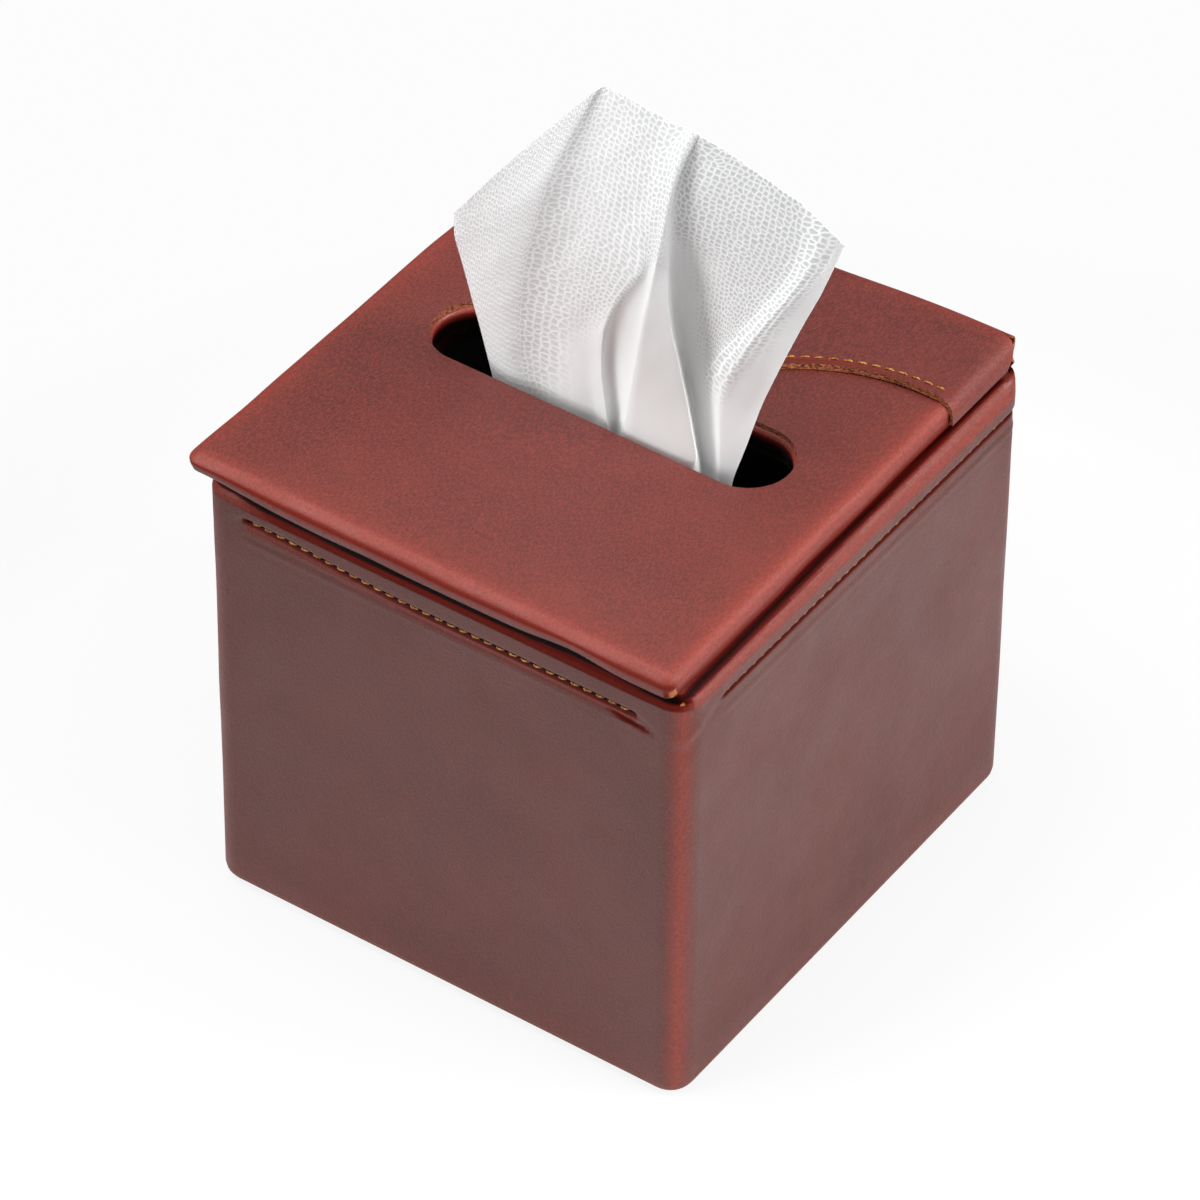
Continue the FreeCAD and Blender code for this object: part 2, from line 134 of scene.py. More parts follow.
def upright(shortest: float) -> Callable:
    """A test for edges that climb by more than a height in metres."""
    return lambda edge: abs(edge.verts[0].co.z - edge.verts[1].co.z) > shortest


# ------------------------------------------------------------------ modelling steps
class Bench:
    """The modelling steps that the sub-assemblies share."""

    @staticmethod
    def only(*objects: bpy.types.Object) -> None:
        """Selects these objects alone and makes the first one active."""
        bpy.ops.object.select_all(action="DESELECT")
        for piece in objects:
            piece.select_set(True)
        bpy.context.view_layer.objects.active = objects[0]

    @staticmethod
    def named(name: str) -> bpy.types.Object:
        """Names the object that was just added and puts its place into its mesh."""
        piece = bpy.context.active_object
        piece.name = piece.data.name = name
        bpy.ops.object.transform_apply(location=True, rotation=True, scale=True)
        return piece

    @classmethod
    def block(cls, name: str, low: Sequence[float], high: Sequence[float]) -> bpy.types.Object:
        """Adds a cube between two corners in millimetres."""
        bpy.ops.object.select_all(action="DESELECT")
        middle = [(a + b) / 2 * MM for a, b in zip(low, high)]
        size = [(b - a) * MM for a, b in zip(low, high)]
        bpy.ops.mesh.primitive_cube_add(size=1, location=middle, scale=size)
        return cls.named(name)

    @classmethod
    def grid(cls, name: str, wide: int, tall: int) -> bpy.types.Object:
        """Adds a flat grid of so many faces each way, to be moved by a formula."""
        bpy.ops.object.select_all(action="DESELECT")
        bpy.ops.mesh.primitive_grid_add(x_subdivisions=wide, y_subdivisions=tall, size=2)
        return cls.named(name)

    @classmethod
    def grid_places(cls, piece: bpy.types.Object, wide: int, tall: int) -> np.ndarray:
        """Each vertex's column and row in a flat grid."""
        return np.rint((cls.points(piece)[:, :2] * MM + 1) / 2 * (wide, tall)).astype(int)

    @staticmethod
    @contextmanager
    def editing(piece: bpy.types.Object) -> Iterator[None]:
        """Edit mode on one object."""
        Bench.only(piece)
        bpy.ops.object.mode_set(mode="EDIT")
        try:
            yield
        finally:
            bpy.ops.object.mode_set(mode="OBJECT")

    @staticmethod
    def pick(piece: bpy.types.Object, element: Element, wanted: Callable) -> int:
        """Selects, in edit mode, the elements that are wanted.

        Args:
            piece: the object in edit mode.
            element: edges or faces.
            wanted: says of one bmesh element whether it is selected.

        Returns:
            How many were selected.
        """
        bpy.ops.mesh.select_mode(type=element.value)
        bpy.ops.mesh.select_all(action="DESELECT")
        shape = bmesh.from_edit_mesh(piece.data)
        rows = shape.edges if element is Element.EDGES else shape.faces
        count = 0
        for row in rows:
            if wanted(row):
                row.select_set(True)
                count += 1
        shape.select_flush_mode()
        bmesh.update_edit_mesh(piece.data)
        return count

    @classmethod
    def bevel(cls, piece: bpy.types.Object, wanted: Callable, radius: float, steps: int) -> None:
        """Rounds the wanted edges by a radius in millimetres."""
        with cls.editing(piece):
            cls.pick(piece, Element.EDGES, wanted)
            bpy.ops.mesh.bevel(offset=radius * MM, segments=steps, profile=0.5, affect="EDGES")

    @classmethod
    def drop_faces(cls, piece: bpy.types.Object, wanted: Callable) -> None:
        """Deletes the wanted faces."""
        with cls.editing(piece):
            if cls.pick(piece, Element.FACES, wanted):
                bpy.ops.mesh.delete(type="FACE")

    @classmethod
    def fold_edge(cls, piece: bpy.types.Object, wanted: Callable,
                  place: Callable[[Vector], Vector]) -> None:
        """Extrudes the wanted open edges once and moves the new ones by a rule.

        Args:
            piece: the object.
            wanted: says of one edge whether it is extruded.
            place: gives a new vertex's place from its old one, in millimetres.
        """
        with cls.editing(piece):
            cls.pick(piece, Element.EDGES, lambda edge: edge.is_boundary and wanted(edge))
            bpy.ops.mesh.extrude_edges_move()
            shape = bmesh.from_edit_mesh(piece.data)
            for vert in shape.verts:
                if vert.select:
                    vert.co = place(vert.co / MM) * MM
            bmesh.update_edit_mesh(piece.data)

    @classmethod
    def merge(cls, piece: bpy.types.Object, within: float = 0.02) -> None:
        """Merges vertices that lie together, within a distance in millimetres."""
        with cls.editing(piece):
            bpy.ops.mesh.select_all(action="SELECT")
            bpy.ops.mesh.remove_doubles(threshold=within * MM)

    @classmethod
    def slice(cls, piece: bpy.types.Object, axis: int, places: Sequence[float]) -> None:
        """Cuts the whole mesh by planes across an axis, each at a place in millimetres."""
        normal = [float(axis == k) for k in range(3)]
        with cls.editing(piece):
            bpy.ops.mesh.select_mode(type="VERT")
            for place in places:
                bpy.ops.mesh.select_all(action="SELECT")
                bpy.ops.mesh.bisect(plane_co=[n * place * MM for n in normal], plane_no=normal)

    @staticmethod
    def points(piece: bpy.types.Object) -> np.ndarray:
        """The mesh's vertices in millimetres."""
        values = np.empty(len(piece.data.vertices) * 3)
        piece.data.vertices.foreach_get("co", values)
        return values.reshape(-1, 3) / MM

    @classmethod
    def shape(cls, piece: bpy.types.Object, formula: Formula) -> None:
        """Moves every vertex to where a formula puts it, in millimetres."""
        moved = formula(cls.points(piece)) * MM
        piece.data.vertices.foreach_set("co", np.ascontiguousarray(moved).ravel())
        piece.data.update()

    @classmethod
    def mark(cls, piece: bpy.types.Object, name: str, formula: Formula) -> None:
        """Stores a number between 0 and 1 at every vertex, for the finish to read."""
        layer = piece.data.attributes.new(name, "FLOAT", "POINT")
        values = np.clip(formula(cls.points(piece)), 0, 1).astype(np.float32)
        layer.data.foreach_set("value", values)

    @staticmethod
    def apply(piece: bpy.types.Object, kind: str, **settings: object) -> None:
        """Adds one modifier with its settings and applies it."""
        Bench.only(piece)
        modifier = piece.modifiers.new(kind.title(), kind)
        for key, value in settings.items():
            setattr(modifier, key, value)
        bpy.ops.object.modifier_apply(modifier=modifier.name)

    @classmethod
    def thicken(cls, piece: bpy.types.Object, thickness: float, edge_slot: int = 0) -> None:
        """Gives a sheet its thickness inwards, with the cut edge in its own material slot."""
        while len(piece.data.materials) <= edge_slot:
            piece.data.materials.append(None)
        cls.apply(piece, "SOLIDIFY", thickness=thickness * MM, offset=-1.0,
                  use_even_offset=True, thickness_clamp=1.0, material_offset_rim=edge_slot)

    @classmethod
    def smooth(cls, piece: bpy.types.Object, degrees: float = 40.0) -> None:
        """Shades smoothly, apart from edges sharper than an angle."""
        cls.only(piece)
        bpy.ops.object.shade_smooth_by_angle(angle=math.radians(degrees))

    @classmethod
    def face_alike(cls, piece: bpy.types.Object) -> None:
        """Makes all faces look out on the same side."""
        with cls.editing(piece):
            bpy.ops.mesh.select_all(action="SELECT")
            bpy.ops.mesh.normals_make_consistent(inside=False)

    @classmethod
    def join(cls, name: str, pieces: Sequence[bpy.types.Object]) -> bpy.types.Object:
        """Joins the objects into one with its place in its mesh."""
        cls.only(*pieces)
        bpy.ops.object.join()
        return cls.named(name)


# ------------------------------------------------------------------ finishes
class Nodes:
    """A material's nodes, added and linked with short calls."""

    def __init__(self, name: str) -> None:
        """Starts an empty material with its Principled shader."""
        self.material = bpy.data.materials.new(name)
        self.material.use_nodes = True
        self.tree = self.material.node_tree
        self.shader = self.tree.nodes["Principled BSDF"]

    def add(self, kind: str, **settings: object) -> bpy.types.Node:
        """Adds a node with its properties set."""
        node = self.tree.nodes.new(f"ShaderNode{kind}")
        for key, value in settings.items():
            setattr(node, key, value)
        return node

    def link(self, source: bpy.types.NodeSocket, target: bpy.types.NodeSocket) -> None:
        """Links two sockets."""
        self.tree.links.new(source, target)

    def place(self) -> bpy.types.NodeSocket:
        """The piece's own coordinates."""
        return self.add("TexCoord").outputs["Object"]

    def noise(self, vector: bpy.types.NodeSocket, scale: float, detail: float = 3.0,
              rough: float = 0.55, stretch: Sequence[float] | None = None
              ) -> bpy.types.NodeSocket:
        """A noise of so many cells in a metre, stretched along an axis if asked."""
        if stretch:
            mapping = self.add("Mapping")
            mapping.inputs["Scale"].default_value = stretch
            self.link(vector, mapping.inputs["Vector"])
            vector = mapping.outputs["Vector"]
        node = self.add("TexNoise")
        node.inputs["Scale"].default_value = scale
        node.inputs["Detail"].default_value = detail
        node.inputs["Roughness"].default_value = rough
        self.link(vector, node.inputs["Vector"])
        return node.outputs["Fac"]

    def cells(self, vector: bpy.types.NodeSocket, scale: float, feature: str = "F1",
              randomness: float = 1.0, dimensions: int = 3) -> bpy.types.NodeSocket:
        """A pattern of cells, so many in a metre, more or less even."""
        node = self.add("TexVoronoi", feature=feature, voronoi_dimensions=f"{dimensions}D")
        node.inputs["Scale"].default_value = scale
        node.inputs["Randomness"].default_value = randomness
        self.link(vector, node.inputs["Vector"])
        return node.outputs["Distance"]

    def attribute(self, name: str) -> bpy.types.NodeSocket:
        """A number stored at the piece's vertices."""
        return self.add("Attribute", attribute_name=name).outputs["Fac"]

    def spread(self, value: bpy.types.NodeSocket, low: float, high: float,
               out_low: float = 0.0, out_high: float = 1.0) -> bpy.types.NodeSocket:
        """The value's part from low to high, spread over a new range."""
        node = self.add("MapRange")
        for key, number in (("From Min", low), ("From Max", high),
                            ("To Min", out_low), ("To Max", out_high)):
            node.inputs[key].default_value = number
        self.link(value, node.inputs["Value"])
        return node.outputs["Result"]

    def combine(self, kind: str, first: object, second: object) -> bpy.types.NodeSocket:
        """Two values put together by a named operation."""
        node = self.add("Math", operation=kind)
        for socket, value in zip(node.inputs, (first, second)):
            if isinstance(value, (int, float)):
                socket.default_value = value
            else:
                self.link(value, socket)
        return node.outputs[0]

    def blend(self, share: object, first: object, second: object) -> bpy.types.NodeSocket:
        """Two colours mixed by a share."""
        node = self.add("Mix", data_type="RGBA")
        for socket, value in ((node.inputs[0], share), (node.inputs[6], first),
                              (node.inputs[7], second)):
            if isinstance(value, (tuple, int, float)):
                socket.default_value = value
            else:
                self.link(value, socket)
        return node.outputs[2]

    def relief(self, height: bpy.types.NodeSocket, strength: float, depth: float,
               under: bpy.types.NodeSocket | None = None) -> bpy.types.NodeSocket:
        """Bumps of a depth in millimetres."""
        node = self.add("Bump")
        node.inputs["Strength"].default_value = strength
        node.inputs["Distance"].default_value = depth * MM
        self.link(height, node.inputs["Height"])
        if under is not None:
            self.link(under, node.inputs["Normal"])
        return node.outputs["Normal"]

    def finish(self, colour: object, roughness: object, normal: object = None,
               **numbers: object) -> bpy.types.Material:
        """Feeds the shader.

        Args:
            colour: a colour or a socket.
            roughness: a number or a socket.
            normal: a socket with the relief, if any.
            numbers: the shader's other sockets, by name with underscores.

        Returns:
            The finished material.
        """
        for name, value in (("Base Color", colour), ("Roughness", roughness)):
            if isinstance(value, (tuple, int, float)):
                self.shader.inputs[name].default_value = value
            else:
                self.link(value, self.shader.inputs[name])
        if normal is not None:
            self.link(normal, self.shader.inputs["Normal"])
        for name, value in numbers.items():
            self.shader.inputs[name.replace("_", " ")].default_value = value
        return self.material


@dataclass(frozen=True)
class PullUpLeather:
    """Waxed leather that goes lighter and redder where it is bent over an edge, partly as a painted
    highlight, and darker where painted shade is marked.
    """

    name: str = "cover_leather"
    deep: Colour = srgb(63, 22, 18)
    body: Colour = srgb(105, 41, 34)
    bright: Colour = srgb(134, 54, 44)
    # The colour of pull-up wear, also laid on as a painted highlight along rounded edges.
    pulled: Colour = srgb(143, 52, 38)
    bare: Colour = srgb(176, 108, 66)
    # Painted shade: this red at half strength, the darkest colour at full strength.
    painted_shade_red: Colour = srgb(112, 32, 22)
    roughness: float = 0.46
    specular: float = 0.5
    darkest: Colour = srgb(8, 2, 1)
    painted_shade_shine: tuple[float, ...] = (0.30, 0.14, 0.04)

    def material(self) -> bpy.types.Material:
        """Builds the finish."""
        n = Nodes(self.name)
        at = n.place()
        clouds = n.spread(n.noise(at, 24, 4.0, 0.6), 0.36, 0.68)
        patches = n.spread(n.noise(at, 110, 4.0, 0.6), 0.38, 0.66)
        specks = n.spread(n.noise(at, 1350, 2.0, 0.7, stretch=(1.5, 0.6, 1)), 0.42, 0.62)
        dust = n.spread(n.noise(at, 1900, 2.0, 0.8, stretch=(1.3, 0.7, 1)), 0.5, 0.66)
        colour = n.blend(n.combine("MULTIPLY", clouds, 0.45), self.body, self.deep)
        colour = n.blend(n.combine("MULTIPLY", patches, 0.22), colour, self.deep)
        colour = n.blend(n.combine("MULTIPLY", specks, 0.55), colour, self.bright)
        colour = n.blend(n.combine("MULTIPLY", dust, 0.60), colour, self.deep)
        # Lighter red where the pulled mark is: pull-up wear, and partly a painted highlight.
        wear = n.combine("MULTIPLY", n.attribute("pulled"), n.spread(specks, 0, 1, 0.55, 1.0))
        colour = n.blend(wear, colour, self.pulled)
        # Painted shade where the shade mark is: towards a deep red, then near black.
        shade = n.attribute("shade")
        colour = n.blend(n.spread(shade, 0, 0.5), colour, self.painted_shade_red)
        colour = n.blend(n.spread(shade, 0.5, 1), colour, self.darkest)
        ragged = n.combine("MULTIPLY", n.attribute("bare"), n.spread(specks, 0, 1, 0.7, 1.3))
        colour = n.blend(n.spread(ragged, 0.45, 0.6), colour, self.bare)
        rough = n.spread(n.noise(at, 60, 4.0, 0.6), 0.3, 0.7,
                         self.roughness - 0.05, self.roughness + 0.07)
        rough = n.combine("ADD", rough, n.spread(n.attribute("pulled"), 0, 1, 0.0, 0.12))
        grain = n.relief(n.cells(at, 1300), 0.45, 0.12)
        grain = n.relief(n.noise(at, 620, 3.0, 0.65, stretch=(1.4, 0.7, 1)), 0.35, 0.16, grain)
        return n.finish(colour, rough, grain, Specular_IOR_Level=self.specular)

    def with_painted_shade(self) -> list[bpy.types.Material]:
        """Builds the finish and its variants for faces with painted shade, each with less of a shine.
        """
        duller = [replace(self, name=f"{self.name}_crease_{number}", specular=level)
                  for number, level in enumerate(self.painted_shade_shine, 1)]
        return [leather.material() for leather in (self, *duller)]


@dataclass(frozen=True)
class CutEdge:
    """The raw, burnished edge of cut leather: tan fibre with darker bands along it."""

    name: str = "cut_edge"
    fibre: Colour = srgb(196, 118, 76)
    dark: Colour = srgb(84, 34, 22)

    def material(self) -> bpy.types.Material:
        """Builds the finish."""
        n = Nodes(self.name)
        at = n.place()
        fibres = n.spread(n.noise(at, 1300, 4.0, 0.7, stretch=(0.7, 0.7, 1.6)), 0.40, 0.66)
        colour = n.blend(fibres, self.dark, self.fibre)
        return n.finish(colour, 0.7, n.relief(fibres, 0.4, 0.15), Specular_IOR_Level=0.3)


@dataclass(frozen=True)
class WaxedThread:
    """Golden-brown linen thread with a wax shine and the lines of its twist."""

    name: str = "waxed_thread"
    light: Colour = srgb(206, 152, 70)
    dark: Colour = srgb(92, 52, 22)

    def material(self) -> bpy.types.Material:
        """Builds the finish."""
        n = Nodes(self.name)
        strands = n.spread(n.noise(n.place(), 1600, 3.0, 0.6), 0.35, 0.65)
        colour = n.blend(strands, self.dark, self.light)
        return n.finish(colour, 0.5, n.relief(strands, 0.4, 0.1), Specular_IOR_Level=0.3)


@dataclass(frozen=True)
class EmbossedPaper:
    """White two-ply paper with a net of pressed cells that fades out on the plain panels; the cells'
    grey is painted shade.
    """

    name: str = "tissue_paper"
    net: Colour = srgb(254, 254, 254)
    cell_shade: Colour = srgb(198, 203, 205)
    plain: Colour = srgb(241, 243, 243)
    cells_per_metre: float = 560.0

    def material(self) -> bpy.types.Material:
        """Builds the finish."""
        n = Nodes(self.name)
        flat = n.add("TexCoord").outputs["UV"]
        edge = n.cells(flat, self.cells_per_metre, "DISTANCE_TO_EDGE", 0.6, 2)
        web = n.spread(edge, 0.05, 0.26, 1.0, 0.0)
        pressed = n.attribute("embossed")
        share = n.combine("MULTIPLY", n.combine("SUBTRACT", 1.0, web), pressed)
        colour = n.blend(pressed, self.plain, self.net)
        # The cells are painted grey: painted shade of their dimples, as strong as the embossed mark.
        colour = n.blend(share, colour, self.cell_shade)
        fibres = n.noise(flat, 2600, 3.0, 0.7)
        normal = n.relief(n.combine("MULTIPLY", web, pressed), 0.7, 0.14)
        normal = n.relief(fibres, 0.10, 0.05, normal)
        return n.finish(colour, 0.92, normal, Specular_IOR_Level=0.15, Sheen_Weight=0.15,
                        Subsurface_Weight=0.3, Subsurface_Radius=(1.0, 1.0, 1.0),
                        Subsurface_Scale=0.002)


@dataclass(frozen=True)
class FoldedPaper:
    """The stack's folded tissues, with fine grey lines along their edges: painted shade between the
    leaves.
    """

    name: str = "stacked_paper"

    def material(self) -> bpy.types.Material:
        """Builds the finish."""
        n = Nodes(self.name)
        at = n.place()
        lines = n.spread(n.noise(at, 900, 3.0, 0.6, stretch=(0.05, 0.05, 1.6)), 0.3, 0.7)
        colour = n.blend(lines, srgb(205, 205, 203), srgb(246, 246, 245))
        return n.finish(colour, 0.93, n.relief(lines, 0.5, 0.3), Specular_IOR_Level=0.15)


@dataclass(frozen=True)
class NapCloth:
    """Short-napped lining or suede in one colour."""

    name: str
    light: Colour
    dark: Colour

    def material(self) -> bpy.types.Material:
        """Builds the finish."""
        n = Nodes(self.name)
        at = n.place()
        nap = n.spread(n.noise(at, 900, 4.0, 0.7), 0.32, 0.68)
        brushed = n.spread(n.noise(at, 45, 3.0, 0.5), 0.35, 0.65)
        colour = n.blend(nap, self.dark, self.light)
        colour = n.blend(n.combine("MULTIPLY", brushed, 0.3), colour, self.dark)
        return n.finish(colour, 0.95, n.relief(nap, 0.5, 0.2), Specular_IOR_Level=0.1,
                        Sheen_Weight=0.25, Sheen_Roughness=0.4)


@dataclass(frozen=True)
class PressedBoard:
    """Grey-brown fibre board."""

    name: str = "pressed_board"

    def material(self) -> bpy.types.Material:
        """Builds the finish."""
        n = Nodes(self.name)
        at = n.place()
        chips = n.spread(n.noise(at, 420, 5.0, 0.7, stretch=(1, 1, 3)), 0.3, 0.7)
        colour = n.blend(chips, srgb(120, 104, 86), srgb(160, 142, 118))
        return n.finish(colour, 0.85, n.relief(chips, 0.4, 0.2), Specular_IOR_Level=0.3)


class Finishes:
    """Every finish, built once."""

    def __init__(self) -> None:
        """Builds the materials."""
        self.cover = PullUpLeather().with_painted_shade()
        # The walls' leather is the lid's leather made darker: painted shade for the dimmer light on
        # the upright walls.
        self.walls = PullUpLeather(name="shaded_wall_leather", deep=srgb(56, 22, 16),
                                   body=srgb(85, 36, 28), bright=srgb(101, 43, 36),
                                   painted_shade_red=srgb(80, 12, 6), roughness=0.40).with_painted_shade()
        self.hinge = PullUpLeather(name="hinge_leather").material()
        self.collar = PullUpLeather(name="collar_leather", deep=srgb(60, 18, 14),
                                    body=srgb(110, 36, 28), bright=srgb(138, 46, 36),
                                    pulled=srgb(150, 60, 44), painted_shade_red=srgb(80, 20, 14),
                                    roughness=0.38).with_painted_shade()
        self.edge = CutEdge().material()
        self.thread = WaxedThread().material()
        self.paper = EmbossedPaper().material()
        self.stack = FoldedPaper().material()
        self.lining = NapCloth("lining_cloth", srgb(34, 29, 28), srgb(12, 10, 10)).material()
        self.pad = NapCloth("base_suede", srgb(58, 38, 32), srgb(26, 17, 15)).material()
        self.board = PressedBoard().material()


def dress_node(node: str, finish: bpy.types.Material) -> None:
    """Gives a carried-over solid its finish."""
    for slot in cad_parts[node].material_slots:
        slot.material = finish


def dress(piece: bpy.types.Object, *finishes: bpy.types.Material) -> None:
    """Fills the piece's material slots in order and adds the ones that it lacks."""
    for number, finish in enumerate(finishes):
        if number < len(piece.data.materials):
            piece.data.materials[number] = finish
        else:
            piece.data.materials.append(finish)


def crease(piece: bpy.types.Object, finishes: Sequence[bpy.types.Material],
           levels: Sequence[float] = (0.08, 0.18, 0.30)) -> None:
    """Gives the faces with painted shade finishes with less and less of a shine.

    Args:
        piece: the object, marked with "shade".
        finishes: the finishes for its painted shade, dullest last.
        levels: how strong the mark has to be for each.
    """
    first = len(piece.data.materials)
    for finish in finishes:
        piece.data.materials.append(finish)
    shade = piece.data.attributes["shade"].data
    for face in piece.data.polygons:
        mean = sum(shade[v].value for v in face.vertices) / len(face.vertices)
        passed = sum(mean > level for level in levels)
        if face.material_index == 0 and passed:
            face.material_index = first + passed - 1


def settle(piece: bpy.types.Object, body: str, slot: str, nodes: Sequence[str],
           *finishes: bpy.types.Material) -> None:
    """Dresses a new piece, sets it on its body and hides the solids that it stands for.

    Args:
        piece: the new object.
        body: the body that it moves with.
        slot: not used.
        nodes: the solids that it replaces.
        finishes: its materials, in the order of its material slots.
    """
    dress(piece, *finishes)
    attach(piece, body)
    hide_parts(*nodes)
    LOG.info("%s: %d faces", piece.name, len(piece.data.polygons))


# ------------------------------------------------------------------ box
@dataclass
class BoxCover:
    """The leather over the walls: one skin, rolled over the rim and turned under the base."""

    half_width: float = HALF_WIDTH
    half_depth: float = HALF_DEPTH
    foot_z: float = 0.4
    rim_z: float = RIM_Z
    corner: float = 7.0
    foot: float = 4.0
    roll: float = 5.4
    thickness: float = LEATHER
    pitch: float = STITCH_PITCH
    strip_face: float = 72.0
    mouth_half_width: float = 63.3
    mouth_front: float = -66.3
    turn_in_z: float = 118.0
    turn_under: float = 14.0
    step: float = 1.25
    bare_at: tuple[float, float, float] = (69.9, -72.9, 132.6)

    def build(self) -> bpy.types.Object:
        """Shapes the skin from a cube."""
        cover = Bench.block("box_cover", (-self.half_width, -self.half_depth, self.foot_z),
                            (self.half_width, self.half_depth, self.rim_z))
        self._round(cover)
        self._turn_over_rim(cover)
        self._turn_under_base(cover)
        Bench.merge(cover)
        Bench.slice(cover, 2, self._levels())
        step = self.step * 1
        Bench.slice(cover, 0, np.arange(-64.4, 64.5, step))
        Bench.slice(cover, 1, np.arange(-67.4, 67.5, step))
        Bench.mark(cover, "pulled", self._pulled_and_painted_light)
        Bench.mark(cover, "shade", self._shade)
        Bench.mark(cover, "bare",
                   lambda p: hump(np.linalg.norm(p - self.bare_at, axis=1), 0, 0.8))
        Bench.shape(cover, self._pressed)
        Bench.thicken(cover, self.thickness, 1)
        Bench.smooth(cover, 50)
        return cover

    def _levels(self) -> list[float]:
        """The heights at which the walls are sliced: closer together where there is more form."""
        wall = [12, 24, 38, 52, 66, 80, 94, 104, 111, 115.5]
        turn_in = [112.8, 114.2, 116.6, 117.3] + [self.turn_in_z + k * 0.8 for k in range(1, 8)]
        channel = [ROW_Z + k * 0.3 for k in range(-11, 9)] + [128.6, 129.2, 129.8, 130.2]
        rim = [130.6, 131.0, 131.5, 131.8, 132.1, 132.4, 132.7, 133.0, 133.3, 133.9, 134.5, 135.3]
        return wall + turn_in + channel + rim

    def _round(self, cover: bpy.types.Object) -> None:
        """Rounds the uprights, the foot and the rim."""
        Bench.bevel(cover, upright(0.1), self.corner, 8)
        foot, rim = self.foot_z * MM + 1e-5, self.rim_z * MM - 1e-5
        Bench.bevel(cover, lambda e: all(v.co.z < foot for v in e.verts), self.foot, 4)
        Bench.bevel(cover, lambda e: all(v.co.z > rim for v in e.verts), self.roll, 5)
        Bench.drop_faces(cover, lambda f: abs(f.normal.z) > 0.99 and len(f.verts) > 8)

    def _plan(self, points: np.ndarray) -> tuple[np.ndarray, np.ndarray]:
        """Each point's outward direction in plan and its distance from the core rectangle."""
        core = np.array([self.half_width - self.corner, self.half_depth - self.corner])
        away = points[:, :2] - np.clip(points[:, :2], -core, core)
        distance = np.linalg.norm(away, axis=1)
        return away / np.maximum(distance, 1e-6)[:, None], distance

    def _turn_over_rim(self, cover: bpy.types.Object) -> None:
        """Straightens the back, where the skin stops at the rim, and turns the rest in."""
        def straight(points: np.ndarray) -> np.ndarray:
            """Undoes the rim's rounding along the back."""
            outward, distance = self._plan(points)
            share = ease(points[:, 1], 65.0, 71.0) * (points[:, 2] > self.rim_z - self.roll)
            moved = points.copy()
            moved[:, :2] += outward * ((self.corner - distance) * share)[:, None]
            return moved

        Bench.shape(cover, straight)
        half, front, back = self.mouth_half_width, self.mouth_front, self.strip_face - 0.1
        steps = ((2.2, 0.0), (1.0, 0.25), (0.2, 0.9), (0.0, 1.8), (0.0, self.rim_z - self.turn_in_z))
        for inset, drop in steps:
            def place(old: Vector, inset: float = inset, drop: float = drop) -> Vector:
                """The turned-in edge's next line."""
                return Vector((max(-half - inset, min(half + inset, old.x)),
                               max(front - inset, min(back, old.y)), self.rim_z - drop))
            Bench.fold_edge(cover, lambda e: all(v.co.z > 0.1 for v in e.verts)
                            and sum(v.co.y for v in e.verts) / 2 < back * MM, place)

    def _turn_under_base(self, cover: bpy.types.Object) -> None:
        """Turns the skin under the base, around the pad."""
        for share in (0.3, 1.0):
            wide = self.half_width - self.foot - share * (self.turn_under - self.foot)
            deep = self.half_depth - self.foot - share * (self.turn_under - self.foot)
            Bench.fold_edge(cover, lambda e: all(v.co.z < 0.002 for v in e.verts),
                            lambda old, w=wide, d=deep: Vector(
                                (max(-w, min(w, old.x)), max(-d, min(d, old.y)), self.foot_z)))

    def _corner_share(self, points: np.ndarray) -> np.ndarray:
        """How far each point lies from the rows' ends, at 0, towards a front corner, at 1."""
        x, y = points[:, 0], points[:, 1]
        end_x = np.where(x > 0, 57.0, 58.0)
        across = (np.abs(x) - end_x) / (self.half_width - end_x)
        along = (-y - 57.5) / (self.half_depth - 57.5)
        return np.clip(np.minimum(across, along), 0, 1)

    def _row(self, points: np.ndarray) -> tuple[np.ndarray, np.ndarray, np.ndarray]:
        """The thread row at each point: its strength, the height of its line, the place along it."""
        x, y = points[:, 0], points[:, 1]
        corner = self._corner_share(points)
        share = 1 - ease(corner, 0.0, 0.10)
        across = (y < -(self.half_depth - self.corner)) | (y > self.half_depth - self.corner)
        return share, row_height(x, y) - 8.5 * corner ** 1.4, np.where(across, x, y)

    def _pressed(self, points: np.ndarray) -> np.ndarray:
        """Presses the thread's channel, fills out the rim and lets the walls waver."""
        outward, distance = self._plan(points)
        z = points[:, 2]
        share, line, along = self._row(points)
        above = z - line
        wall = np.clip((distance - 2.0) / 4.0, 0, 1) * ease(z, 3.0, 12.0)
        pulse = 0.5 + 0.5 * np.cos(2 * math.pi * (along + 60.0) / self.pitch)
        channel = share * (0.75 + 0.30 * pulse) * hump(above, 0.15, 0.75)
        channel += share * 0.25 * hump(above, -1.8, 2.0)
        right = ease(points[:, 0], 66.0, 71.0)
        ended = ease(self._corner_share(points), 0.05, 0.6) * (1 - right)
        gather = (1 - share) * (0.10 + 0.90 * right)
        dent = gather * 0.30 * hump(above, -0.6, 2.2)
        swell = 0.24 * (1 - ended) * ease(above, 0.3, 2.0) * (1 - ease(z, 130, 135.5))
        swell += gather * (0.06 + 0.22 * right) * hump(above, 3.2, 2.2)
        swell += 0.09 * share * np.sin((z - 116) * 2 * math.pi / 3.4) * hump(z, 120.5, 3.5)
        slow = 0.20 * ripple(points[:, 0] * 0.5, points[:, 1] * 0.5, z * 0.5)
        slow *= 1 - 0.6 * ease(z, 110, 120)
        moved = points.copy()
        moved[:, :2] += outward * (wall * (swell - channel - dent + slow))[:, None]
        return moved

